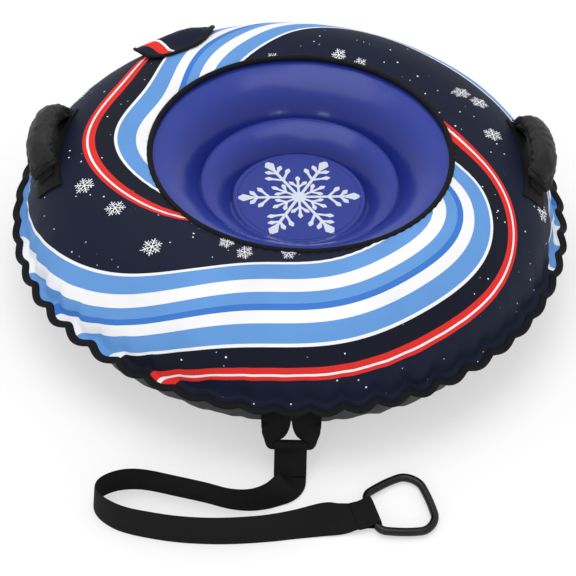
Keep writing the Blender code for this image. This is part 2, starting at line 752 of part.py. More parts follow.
def make_tow_loop():
    """The patch sewn below the seam and the loop of webbing that hangs from it, gathered at its bottom."""
    reach = COVER_RADIUS - BASE_RADIUS
    rows = []
    for i in range(TOW_ANCHOR_STEPS + 1):
        across = 2 * i / TOW_ANCHOR_STEPS - 1
        turn = math.radians(TOW_TURN_DEG) + TOW_ANCHOR_HALF_WIDTH / COVER_RADIUS * across
        points = []
        for share in TOW_ANCHOR_SHARES:
            angle = math.pi / 2 * share
            r = BASE_RADIUS + (reach + GAP) * math.sin(angle)
            z = SEAM_HEIGHT - (SEAM_HEIGHT + GAP) * math.cos(angle)
            points.append((r * math.cos(turn), r * math.sin(turn), z))
        rows.append(points)
    padded_sheet("tow_anchor_patch", rows, TOW_ANCHOR_WEB, BLACK_WEBBING)

    centres = []
    for x, y, z, gather in TOW_LEG_SHARES:
        place = Vector(
            (
                TOW_LEG_OFFSET * x,
                TOW_TOP_Y + (TOW_BOTTOM_Y - TOW_TOP_Y) * y,
                TOW_TOP_Z + (TOW_BOTTOM_Z - TOW_TOP_Z) * z,
            )
        )
        centres.append((place, gather))
    both = centres + [(Vector((-p.x, p.y, p.z)), gather) for p, gather in reversed(centres)]
    flat, full = LOOP_ROUNDNESS_SHARES
    facing = Vector((0.0, -1.0, 0.0))
    rings = []
    for i, (place, gather) in enumerate(both):
        before = both[max(i - 1, 0)][0]
        after = both[min(i + 1, len(both) - 1)][0]
        run = (after - before).normalized()
        deep = (facing - run * facing.dot(run)).normalized()
        wide = run.cross(deep).normalized()
        half_width = TOW_LEG_HALF_WIDTH + (TOW_BUNDLE_HALF_WIDTH - TOW_LEG_HALF_WIDTH) * gather
        half_depth = TOW_WEB / 2 + (TOW_BUNDLE_HALF_DEPTH - TOW_WEB / 2) * gather
        roundness = flat + (full - flat) * gather
        rings.append(section_ring(place, wide, deep, half_width, half_depth, roundness, LOOP_SIDES))
    lofted("tow_loop", rings, BLACK_WEBBING)


def strap_stations():
    """Places along the tow strap: position, and the directions of its run, width and thickness."""
    rows = smooth_route(STRAP_ROUTE_SHARES, STRAP_STEPS)
    places = []
    for x, y, lean_deg, rise in rows:
        lean = math.radians(lean_deg)
        rest = STRAP_HALF_WIDTH * abs(math.sin(lean)) + STRAP_WEB / 2 * abs(math.cos(lean)) + STRAP_REST
        places.append((Vector((x * SEAM_RADIUS, y * SEAM_RADIUS, rest + rise * SEAM_RADIUS)), lean))
    stations = []
    for i, (place, lean) in enumerate(places):
        run = (places[min(i + 1, len(places) - 1)][0] - places[max(i - 1, 0)][0]).normalized()
        right = run.cross(Vector((0.0, 0.0, 1.0))).normalized()
        up = right.cross(run)
        wide = right * math.cos(lean) + up * math.sin(lean)
        stations.append((place, run, wide, run.cross(wide)))
    return stations


def make_strap():
    """The tow strap: flat webbing that twists on to its edge and back."""
    rings = []
    for place, run, wide, deep in strap_stations():
        x = wide * STRAP_HALF_WIDTH
        y = deep * (STRAP_WEB / 2)
        rings.append([place - x - y, place + x - y, place + x + y, place - x + y])
    lofted("tow_strap", rings, BLACK_WEBBING)


def fold_loop(name, hole, length, frame):
    """An end of webbing folded round a bar and sewn to itself: an outline with a hole, as wide as the strap."""
    reach = hole + STRAP_WEB
    outline = []
    for i in range(FOLD_ARC_STEPS + 1):
        angle = math.pi / 2 + math.pi * i / FOLD_ARC_STEPS
        outline.append((reach * math.cos(angle), reach * math.sin(angle)))
    neck = hole + hole
    lower = [*outline, (neck, -STRAP_WEB - GAP), (length, -STRAP_WEB)]
    upper = [(length, STRAP_WEB), (neck, STRAP_WEB + GAP)]
    curve = bpy.data.curves.new(name, "CURVE")
    curve.dimensions = "2D"
    curve.fill_mode = "BOTH"
    curve.extrude = STRAP_HALF_WIDTH
    circle = [
        (hole * math.cos(math.tau * k / SMALL_SEGMENTS), hole * math.sin(math.tau * k / SMALL_SEGMENTS))
        for k in range(0, SMALL_SEGMENTS, 2)
    ]
    for points in (lower + upper, circle):
        spline = curve.splines.new("POLY")
        spline.points.add(len(points) - 1)
        for point, (x, y) in zip(spline.points, points):
            point.co = (x, y, 0.0, 1.0)
        spline.use_cyclic_u = True
    made = add_object(name, curve, BLACK_WEBBING)
    made.matrix_world = frame
    return made


def make_folds():
    """The sewn ends of the strap: one round the bottom of the tow loop, one round the bar of the ring."""
    slope = math.radians(FOLD_SLOPE_DEG)
    run = Vector((0.0, -math.cos(slope), -math.sin(slope)))
    place = Vector((0.0, TOW_BOTTOM_Y, TOW_BOTTOM_Z))
    hole = TOW_BUNDLE_HALF_WIDTH + GAP + GAP
    fold_loop("strap_tow_end", hole, FOLD_LENGTH, frame_at(place, run, Vector((1.0, 0.0, 0.0))))

    heading = math.radians(RING_HEADING_DEG)
    centre, frame = ring_frame()
    back = Vector((-math.cos(heading), -math.sin(heading), 0.0))
    across = Vector((-math.sin(heading), math.cos(heading), 0.0))
    hole = RING_BAR_RADIUS + GAP
    fold_loop("strap_ring_end", hole, RING_FOLD_LENGTH, frame_at(centre, back, across))


def ring_frame():
    """The middle of the ring's bar, and the frame with X towards the grip and Z up."""
    heading = math.radians(RING_HEADING_DEG)
    slope = math.radians(RING_SLOPE_DEG)
    centre = Vector((RING_X, RING_Y, RING_BAR_RADIUS + STRAP_WEB + GAP + STRAP_REST))
    away = Vector(
        (math.cos(heading) * math.cos(slope), math.sin(heading) * math.cos(slope), -math.sin(slope))
    )
    across = Vector((-math.sin(heading), math.cos(heading), 0.0))
    return centre, frame_at(centre, away, away.cross(across))


def rounded_corner(before, corner, after, radius, steps):
    """Points of a rounded corner between two straight sides."""
    one = (Vector(before) - Vector(corner)).normalized()
    two = (Vector(after) - Vector(corner)).normalized()
    half = one.angle(two) / 2
    middle = Vector(corner) + (one + two).normalized() * (radius / math.sin(half))
    start = Vector(corner) + one * (radius / math.tan(half)) - middle
    end = Vector(corner) + two * (radius / math.tan(half)) - middle
    sweep = start.angle(end)
    points = []
    for i in range(steps + 1):
        t = i / steps
        points.append(
            middle + (start * math.sin((1 - t) * sweep) + end * math.sin(t * sweep)) / math.sin(sweep)
        )
    return points


def make_ring():
    """The tow ring: a round bar bent into a rounded triangle with a wide grip side."""
    centre, frame = ring_frame()
    corners = (
        (0.0, -RING_BAR_HALF, 0.0),
        (RING_DEPTH, -RING_GRIP_HALF, 0.0),
        (RING_DEPTH, RING_GRIP_HALF, 0.0),
        (0.0, RING_BAR_HALF, 0.0),
    )
    radii = (RING_BAR_CORNER, RING_GRIP_CORNER, RING_GRIP_CORNER, RING_BAR_CORNER)
    path = []
    for i, radius in enumerate(radii):
        after = corners[(i + 1) % len(corners)]
        path += rounded_corner(corners[i - 1], corners[i], after, radius, CORNER_STEPS)
    curve = bpy.data.curves.new("tow_ring", "CURVE")
    curve.dimensions = "3D"
    curve.fill_mode = "FULL"
    curve.bevel_depth = RING_BAR_RADIUS
    curve.bevel_resolution = RING_BEVEL_STEPS
    spline = curve.splines.new("POLY")
    spline.points.add(len(path) - 1)
    for point, place in zip(spline.points, path):
        point.co = (*place, 1.0)
    spline.use_cyclic_u = True
    made = add_object("tow_ring", curve, BLACK_PLASTIC)
    made.matrix_world = frame


def valve_frame():
    """The frame on the cover's outer face over the valve, with Z outwards."""
    turn = math.radians(VALVE_TURN_DEG)
    place, along, _, out = on_cover(VALVE_SECTION_DEG, turn, 0.0)
    return frame_at(place, along, out)


def make_valve(chamber, top):
    """The valve: its base in the chamber, the one-way insert, the cap, and the hatch in the cover over it."""
    frame = valve_frame()
    seat = -(TOP_FABRIC + COVER_CLEARANCE + VALVE_SEAT_DEPTH)
    settled(chamber)
    flat = cylinder_cutter("Valve_seat", VALVE_FLANGE_RADIUS + GAP + GAP, seat, HATCH_RADIUS, frame)
    cut(chamber, flat)
    pit = cylinder_cutter("Valve_pit", VALVE_BODY_RADIUS + GAP, seat - VALVE_BODY_DEPTH - GAP, 0.0, frame)
    cut(chamber, pit)
    settled(top)
    hatch = cylinder_cutter("Hatch", HATCH_RADIUS, -HATCH_RADIUS / 2, HATCH_RADIUS, frame, FINE_SEGMENTS)
    cut(top, hatch)

    low = seat + GAP
    lip = low + VALVE_FLANGE + GAP + TOP_FABRIC + COVER_CLEARANCE + VALVE_NECK_RISE
    shelf = lip - VALVE_PLUG_DEPTH - GAP - VALVE_LEDGE
    profile = [
        (VALVE_NECK_RADIUS, lip),
        (VALVE_NECK_RADIUS, low + VALVE_FLANGE),
        (VALVE_FLANGE_RADIUS, low + VALVE_FLANGE),
        (VALVE_FLANGE_RADIUS, low),
        (VALVE_BODY_RADIUS, low),
        (VALVE_BODY_RADIUS, low - VALVE_BODY_DEPTH + GAP),
        (VALVE_BORE_RADIUS, low - VALVE_BODY_DEPTH + GAP),
        (VALVE_BORE_RADIUS, shelf - VALVE_LEDGE),
        (VALVE_LEDGE_BORE, shelf - VALVE_LEDGE),
        (VALVE_LEDGE_BORE, shelf),
        (VALVE_BORE_RADIUS, shelf),
        (VALVE_BORE_RADIUS, lip),
    ]
    turned("valve_base", profile, VALVE_PLASTIC, steps=SMALL_SEGMENTS).matrix_world = frame

    edge = VALVE_BORE_RADIUS - GAP
    bottom = shelf + GAP
    disc = [
        (0.0, bottom + DIAPHRAGM),
        (VALVE_LEDGE_BORE, bottom + DIAPHRAGM),
        (edge, bottom + DIAPHRAGM + DIAPHRAGM),
        (edge, bottom),
        (0.0, bottom),
    ]
    turned("valve_diaphragm", disc, PALE_RUBBER, closed=False, steps=SMALL_SEGMENTS).matrix_world = frame

    plug = bottom + DIAPHRAGM + DIAPHRAGM + GAP
    head = lip + GAP
    bevel = VALVE_CAP_HEIGHT / 4
    cap = [
        (0.0, head + VALVE_CAP_HEIGHT),
        (VALVE_CAP_RADIUS - bevel, head + VALVE_CAP_HEIGHT),
        (VALVE_CAP_RADIUS, head + VALVE_CAP_HEIGHT - bevel),
        (VALVE_CAP_RADIUS, head),
        (edge, head),
        (edge - bevel, plug),
        (0.0, plug),
    ]
    turned("valve_cap", cap, VALVE_PLASTIC, closed=False, steps=SMALL_SEGMENTS).matrix_world = frame

    reach = COVER_RADIUS - CREST_RADIUS
    rings = []
    tape = (
        (HATCH_RADIUS + GAP, GAP),
        (HATCH_RADIUS + HATCH_TAPE_WIDTH, GAP),
        (HATCH_RADIUS + HATCH_TAPE_WIDTH, GAP + HATCH_TAPE),
        (HATCH_RADIUS + GAP, GAP + HATCH_TAPE),
    )
    for k in range(SMALL_SEGMENTS):
        angle = math.tau * k / SMALL_SEGMENTS
        ring = []
        for radius, lift in tape:
            section = VALVE_SECTION_DEG + math.degrees(radius * math.sin(angle) / reach)
            around = section_point(math.radians(section), lift)[0]
            turn = math.radians(VALVE_TURN_DEG) + radius * math.cos(angle) / around
            ring.append(on_cover(section, turn, lift)[0])
        rings.append(ring)
    lofted("hatch_binding", rings, BLACK_TAPE, cyclic=True)


def flap_frame():
    """The flap's root: its middle on the cover, the way along it and the way in towards the seat."""
    turn = math.radians(VALVE_TURN_DEG)
    middle = Vector((FLAP_ROOT_RADIUS * math.cos(turn), FLAP_ROOT_RADIUS * math.sin(turn), 0.0))
    along = Vector((math.sin(turn), -math.cos(turn), 0.0))
    inward = Vector((-math.cos(turn), -math.sin(turn), 0.0))
    return middle, along, inward


def flap_hinge():
    """The middle of the line that the flap turns about."""
    turn = math.radians(VALVE_TURN_DEG)
    radius = FLAP_ROOT_RADIUS + FLAP_HINGE_OUT
    height = cover_height(FLAP_ROOT_RADIUS, FLAP_LIFT) + FLAP_HINGE_UP
    return Vector((radius * math.cos(turn), radius * math.sin(turn), height))


def set_origin(thing, place):
    """Moves an object's origin to a place without moving its shape."""
    thing.data.transform(Matrix.Translation(-place))
    thing.location = place


def flap_point(u, t, lift):
    """A place on the flap's underside: u runs -1 to 1 along the root, t runs 0 to 1 inwards."""
    middle, along, inward = flap_frame()
    place = middle + along * (u * FLAP_HALF_WIDTH) + inward * (t * FLAP_REACH)
    radius = math.hypot(place.x, place.y)
    ground = cover_height(radius, FLAP_LIFT)
    line = cover_height(FLAP_ROOT_RADIUS - t * FLAP_REACH, FLAP_LIFT)
    level = ground + (line - ground) * (1.0 - t) ** 2
    wide, centre, tall = FLAP_DOME_SHARES
    dome = max(0.0, 1.0 - (u / wide) ** 2 - ((t - centre) / tall) ** 2) ** FLAP_DOME_POWER
    left, right = FLAP_CURL_START_SHARES
    curl = FLAP_LEFT_CURL * max(0.0, -u - left) ** 2 + FLAP_RIGHT_CURL * max(0.0, u - right) ** 2
    fade = min(1.0, t / FLAP_FADE_SHARE) * FLAP_CURL_GAIN
    return Vector((place.x, place.y, level + FLAP_CREST * dome + curl * fade + lift))


def flap_outline(angle):
    """The flap's edge at an angle, in shares of its half width and its reach: blunt on the left, slim on the right."""
    left, right = FLAP_END_SHARES
    along, across = math.cos(angle), math.sin(angle)
    power = left if along < 0 else right
    return math.copysign(abs(along) ** power, along), abs(across) ** power


def make_flap():
    """The flap over the valve, its bound edge, its hook and loop patches and the strip along its root."""
    mesh = bpy.data.meshes.new("valve_flap")
    bm = bmesh.new()
    centre = bm.verts.new(flap_point(0.0, 0.0, 0.0))
    rows = []
    for i in range(1, FLAP_RINGS + 1):
        share = i / FLAP_RINGS
        edge = [flap_outline(math.pi * k / FLAP_SPOKES) for k in range(FLAP_SPOKES + 1)]
        rows.append([bm.verts.new(flap_point(share * u, share * t, 0.0)) for u, t in edge])
    for k in range(FLAP_SPOKES):
        bm.faces.new((centre, rows[0][k], rows[0][k + 1]))
        for first, second in zip(rows, rows[1:]):
            bm.faces.new((first[k], second[k], second[k + 1], first[k + 1]))
    for face in bm.faces:
        face.normal_update()
        if face.normal.z < 0:
            face.normal_flip()
    bm.to_mesh(mesh)
    bm.free()
    cloth = thickened("valve_flap", mesh, FLAP_FABRIC, NAVY_PRINT)

    middle, along, inward = flap_frame()
    edge = [flap_outline(math.pi * k / FLAP_TAPE_STEPS) for k in range(FLAP_TAPE_STEPS + 1)]
    path = []
    for k in range(1, FLAP_TAPE_STEPS):
        before, after = edge[k - 1], edge[k + 1]
        run = along * ((after[0] - before[0]) * FLAP_HALF_WIDTH) + inward * ((after[1] - before[1]) * FLAP_REACH)
        outward = Vector((0.0, 0.0, 1.0)).cross(run).normalized()
        path.append(flap_point(*edge[k], FLAP_FABRIC / 2) + outward * (FLAP_TAPE_RADIUS + GAP))
    bound = tube("flap_binding", path, FLAP_TAPE_RADIUS, BLACK_TAPE)

    hook_rows = [[flap_point(u, t, -GAP - HOOK_TAPE) for t in HOOK_REACH_SHARES] for u in HOOK_ALONG_SHARES]
    hooks = padded_sheet("flap_hook_patch", hook_rows, HOOK_TAPE, HOOK_AND_LOOP)
    for moving in (cloth, bound, hooks):
        set_origin(moving, flap_hinge())

    loop_rows = []
    for u in LOOP_ALONG_SHARES:
        row = []
        for t in LOOP_REACH_SHARES:
            spot = middle + along * (u * FLAP_HALF_WIDTH) + inward * (t * FLAP_REACH)
            row.append((spot.x, spot.y, cover_height(math.hypot(spot.x, spot.y), GAP)))
        loop_rows.append(row)
    padded_sheet("cover_loop_patch", loop_rows, HOOK_TAPE, HOOK_AND_LOOP)

    root_deg = math.degrees(math.asin((FLAP_ROOT_RADIUS - CREST_RADIUS) / (COVER_RADIUS - CREST_RADIUS)))
    grid = even_grid(SEAM_STRIP_HALF_WIDTH, SEAM_STRIP_HALF_DEPTH, *SEAM_STRIP_STEPS)
    cover_patch("flap_seam_strip", root_deg, VALVE_TURN_DEG, grid, GAP, HATCH_TAPE, BLACK_TAPE)


def tube(name, path, radius, finish):
    """A round cord along a path, with closed ends."""
    curve = bpy.data.curves.new(name, "CURVE")
    curve.dimensions = "3D"
    curve.fill_mode = "FULL"
    curve.bevel_depth = radius
    curve.bevel_resolution = TAPE_BEVEL_STEPS
    curve.use_fill_caps = True
    spline = curve.splines.new("POLY")
    spline.points.add(len(path) - 1)
    for point, place in zip(spline.points, path):
        point.co = (*place, 1.0)
    return add_object(name, curve, finish)


def main():
    """Builds every sub-part at rest."""
    clear_scene()
    chamber = make_chambers()
    top = make_covers()
    make_seam_binding()
    make_rim()
    make_handle("right", HANDLE_TURN_DEG)
    make_handle("left", 180.0 - HANDLE_TURN_DEG)
    make_tow_loop()
    make_strap()
    make_folds()
    make_ring()
    make_valve(chamber, top)
    make_flap()


main()
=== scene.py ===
"""Dress of the snow tube: cloth, PVC, webbing, tape, stitches and the moulded ring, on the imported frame."""

import logging
import math
from contextlib import contextmanager
from dataclasses import dataclass, field
from enum import Enum
from typing import Any, Callable, Iterable, Iterator, Sequence

import bmesh
import bpy
from mathutils import Matrix, Vector, noise


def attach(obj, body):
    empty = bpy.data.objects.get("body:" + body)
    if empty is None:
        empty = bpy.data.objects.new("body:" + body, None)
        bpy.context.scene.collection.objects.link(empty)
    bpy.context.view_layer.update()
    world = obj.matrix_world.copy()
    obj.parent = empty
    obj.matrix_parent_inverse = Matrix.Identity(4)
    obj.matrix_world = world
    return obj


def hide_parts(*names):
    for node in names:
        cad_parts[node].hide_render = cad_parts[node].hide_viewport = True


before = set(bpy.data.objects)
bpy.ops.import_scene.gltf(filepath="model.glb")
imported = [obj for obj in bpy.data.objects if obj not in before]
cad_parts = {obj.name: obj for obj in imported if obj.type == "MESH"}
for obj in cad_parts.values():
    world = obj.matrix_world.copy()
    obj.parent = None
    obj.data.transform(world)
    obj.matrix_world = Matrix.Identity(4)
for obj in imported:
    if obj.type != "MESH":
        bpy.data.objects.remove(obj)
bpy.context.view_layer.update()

Tree = bpy.types.NodeTree
Node = bpy.types.Node
Socket = bpy.types.NodeSocket
Mesh = bpy.types.Mesh
Object = bpy.types.Object
Pair = tuple[float, float]
Point = tuple[float, float, float]
Rows = Sequence[Sequence[Iterable[float]]]
Paths = Sequence[tuple[Sequence[Vector], bool]]
Station = tuple[Vector, Vector, Vector, float, float]

LOG = logging.getLogger("snow_tube")
MM = 0.001
GAP = 0.3 * MM
WELD = 0.01 * MM
UP = Vector((0.0, 0.0, 1.0))

# The lie of the photographed tube: shifts, and the radii over which each one fades in or out
SEAT_SHIFT = 10 * MM
SEAT_SHIFT_REACH = (0.255, 0.335)
SIDE_SWELLS = (12 * MM, 4 * MM)
SIDE_SWELL_REACH = (0.24, 0.40)
RIM_PRESS = 8 * MM
RIM_PRESS_REACH = (0.175, 0.235, 0.265, 0.34)

MATH = "ShaderNodeMath"
VECTOR_MATH = "ShaderNodeVectorMath"
MAP_RANGE = "ShaderNodeMapRange"
COLOUR_RAMP = "ShaderNodeValToRGB"
MIX = "ShaderNodeMix"
NOISE = "ShaderNodeTexNoise"
CELLS = "ShaderNodeTexVoronoi"
SEPARATE = "ShaderNodeSeparateXYZ"
COMBINE = "ShaderNodeCombineXYZ"
CIRCLE = "GeometryNodeCurvePrimitiveCircle"
SET_POSITION = "GeometryNodeSetPosition"
SWEEP = "GeometryNodeCurveToMesh"


class Body(str, Enum):
    """The CAD bodies that pieces ride on."""

    TUBE = "tube"
    FLAP = "flap"
    CAP = "cap"
    RING = "ring"


class Side(Enum):
    """The side of the tube that a handle is sewn to, and the sign of its X."""

    RIGHT = 1
    LEFT = -1


def at(radius: float, turn: float, height: float = 0.0) -> Point:
    """The place at a radius and a turn about Z."""
    return radius * math.cos(turn), radius * math.sin(turn), height


def turns(count: int) -> list[float]:
    """Even turns about Z, in radians."""
    return [math.tau * k / count for k in range(count)]


def round_about(radius: float, height: float, count: int) -> list[Point]:
    """A level ring of places about Z."""
    return [at(radius, turn, height) for turn in turns(count)]


def rounded(angle: float, power: float) -> Pair:
    """Cosine and sine raised to a power with their signs: below 1 the round they draw grows boxy."""
    return tuple(math.copysign(abs(part) ** power, part) for part in (math.cos(angle), math.sin(angle)))


def eased(value: float, start: float, stop: float) -> float:
    """0 at start and 1 at stop, smooth at both."""
    share = min(1.0, max(0.0, (value - start) / (stop - start)))
    return share * share * (3.0 - 2.0 * share)


@dataclass(frozen=True)
class TubeSizes:
    """Sizes of the tube that the CAD solids were made to, in metres."""

    seam_radius: float = 0.450
    cover_radius: float = 0.427
    crest_radius: float = 0.292
    rim_radius: float = 0.245
    base_radius: float = 0.312
    height: float = 0.241
    seam_height: float = 0.108
    rim_height: float = 0.2355
    step_radius: float = 0.162
    step_height: float = 0.166
    floor_radius: float = 0.110
    floor_height: float = 0.132
    scallops: int = 54
    scallop_depth: float = 0.0042
    ruffle: float = 0.0040
    tape_centre: float = 0.4445
    cusp: float = 0.03
    uneven: tuple[float, float, float, float] = (0.84, 0.26, 5.0, 1.3)

    def upper(self, angle: float, lift: float = 0.0) -> Pair:
        """Radius and height on the top cover.

        Args:
            angle: The angle in radians, 0 at the crest and a quarter turn at the side.
            lift: How far outside the cover's outer face the place is.

        Returns:
            The radius and the height.
        """
        radius = self.crest_radius + (self.cover_radius - self.crest_radius + lift) * math.sin(angle)
        return radius, self.seam_height + (self.height - self.seam_height + lift) * math.cos(angle)

    def inner(self, share: float, lift: float = 0.0) -> Pair:
        """Radius and height on the top cover between the opening, share 0, and the crest, share 1."""
        radius = self.rim_radius + (self.crest_radius - self.rim_radius) * share
        rise = (self.height - self.rim_height) * math.sin(math.pi / 2 * share)
        return radius, self.rim_height + rise + lift

    def lower(self, angle: float, lift: float = 0.0) -> Pair:
        """Radius and height on the bottom cover, angle 0 at the flat base's edge."""
        radius = self.base_radius + (self.cover_radius - self.base_radius + lift) * math.sin(angle)
        return radius, self.seam_height - (self.seam_height + lift) * math.cos(angle)

    def ground(self, radius: float, lift: float = 0.0) -> float:
        """Height of the top cover at a radius."""
        if radius < self.crest_radius:
            share = max(0.0, (radius - self.rim_radius) / (self.crest_radius - self.rim_radius))
            return self.inner(share, lift)[1]
        across = (radius - self.crest_radius) / (self.cover_radius - self.crest_radius + lift)
        rise = (self.height - self.seam_height + lift) * math.sqrt(max(0.0, 1.0 - across * across))
        return self.seam_height + rise

    def scallop(self, turn: float) -> float:
        """The seam's wave at a turn about Z, about -1 in the sharp cusps and 1 on the rounds."""
        half = math.sin(self.scallops * turn / 2)
        level, sway, rate, shift = self.uneven
        slow = level + sway * math.sin(rate * turn + shift)
        return (2.0 * math.sqrt(half * half + self.cusp) - 1.0) * slow


TUBE = TubeSizes()


def on_cover(angle: float, turn: float, lift: float) -> tuple[Vector, Vector, Vector, Vector]:
    """A place on the top cover.

    Args:
        angle: The angle of the section from the crest, in radians.
        turn: The turn about Z, in radians.
        lift: How far outside the outer face the place is.

    Returns:
        The place, and the directions along the ring, down the side and outwards.
    """
    radius, height = TUBE.upper(angle, lift)
    along = Vector(at(1.0, turn + math.pi / 2))
    down = Vector(at(math.cos(angle), turn, -math.sin(angle)))
    return Vector(at(radius, turn, height)), along, down, down.cross(along)


def linear(hex_colour: str) -> tuple[float, float, float, float]:
    """An sRGB hex colour such as "1A2B3C" as linear RGBA."""
    values = [int(hex_colour[i : i + 2], 16) / 255 for i in (0, 2, 4)]
    return (*[v / 12.92 if v <= 0.04045 else ((v + 0.055) / 1.055) ** 2.4 for v in values], 1.0)


def add_node(tree: Tree, kind: str, inputs: dict[Any, Any] | None = None, **settings: Any) -> Node:
    """Adds one node to a tree.

    Args:
        tree: The material's or modifier's tree.
        kind: The node's type.
        inputs: Sockets, by name or number, to a value, an output socket or a node, whose first output
            feeds it.
        settings: Properties of the node to set.

    Returns:
        The node.
    """
    node = tree.nodes.new(kind)
    for name, value in settings.items():
        setattr(node, name, value)
    for key, value in (inputs or {}).items():
        if isinstance(value, (Node, Socket)):
            tree.links.new(value.outputs[0] if isinstance(value, Node) else value, node.inputs[key])
        else:
            node.inputs[key].default_value = value
    return node


def colour_steps(ramp: bpy.types.ColorRamp, stops: Sequence[tuple[float, str]], interpolation: str) -> None:
    """Puts colours at places on a ramp."""
    ramp.interpolation = interpolation
    while len(ramp.elements) > 1:
        ramp.elements.remove(ramp.elements[-1])
    ramp.elements[0].position = stops[0][0]
    ramp.elements[0].color = linear(stops[0][1])
    for place, colour in stops[1:]:
        ramp.elements.new(place).color = linear(colour)


class Shading:
    """A fresh material with its tree and its shader."""

    def __init__(self, name: str) -> None:
        """Makes the empty material."""
        self.material = bpy.data.materials.new(name)
        self.material.use_nodes = True
        self.tree = self.material.node_tree
        self.shader = self.tree.nodes["Principled BSDF"]

    def show(self, **sockets: Any) -> bpy.types.Material:
        """Sets or links the shader's sockets, named with underscores for spaces, and gives the material."""
        for name, value in sockets.items():
            socket = self.shader.inputs[name.replace("_", " ")]
            if isinstance(value, Socket):
                self.tree.links.new(value, socket)
            else:
                socket.default_value = value
        return self.material

    def weave(self, place: Socket, thread: float, strength: float) -> Socket:
        """A plain weave's grain with slight puckers, as a normal.

        Args:
            place: The coordinates to read, in metres.
            thread: The spacing of the threads, drawn coarse enough to show.
            strength: The strength of the bump.

        Returns:
            The output that feeds the shader's normal.
        """
        cells = {"Vector": place, "Scale": 1.0 / thread, "Randomness": 0.35}
        grain = add_node(self.tree, CELLS, cells, feature="F1")
        soft = add_node(self.tree, NOISE, {"Vector": place, "Scale": 55.0, "Detail": 2.0})
        both = add_node(self.tree, MATH, {0: soft, 1: 2.0, 2: grain}, operation="MULTIPLY_ADD")
        relief = {"Height": both, "Strength": strength, "Distance": thread}
        return add_node(self.tree, "ShaderNodeBump", relief).outputs["Normal"]


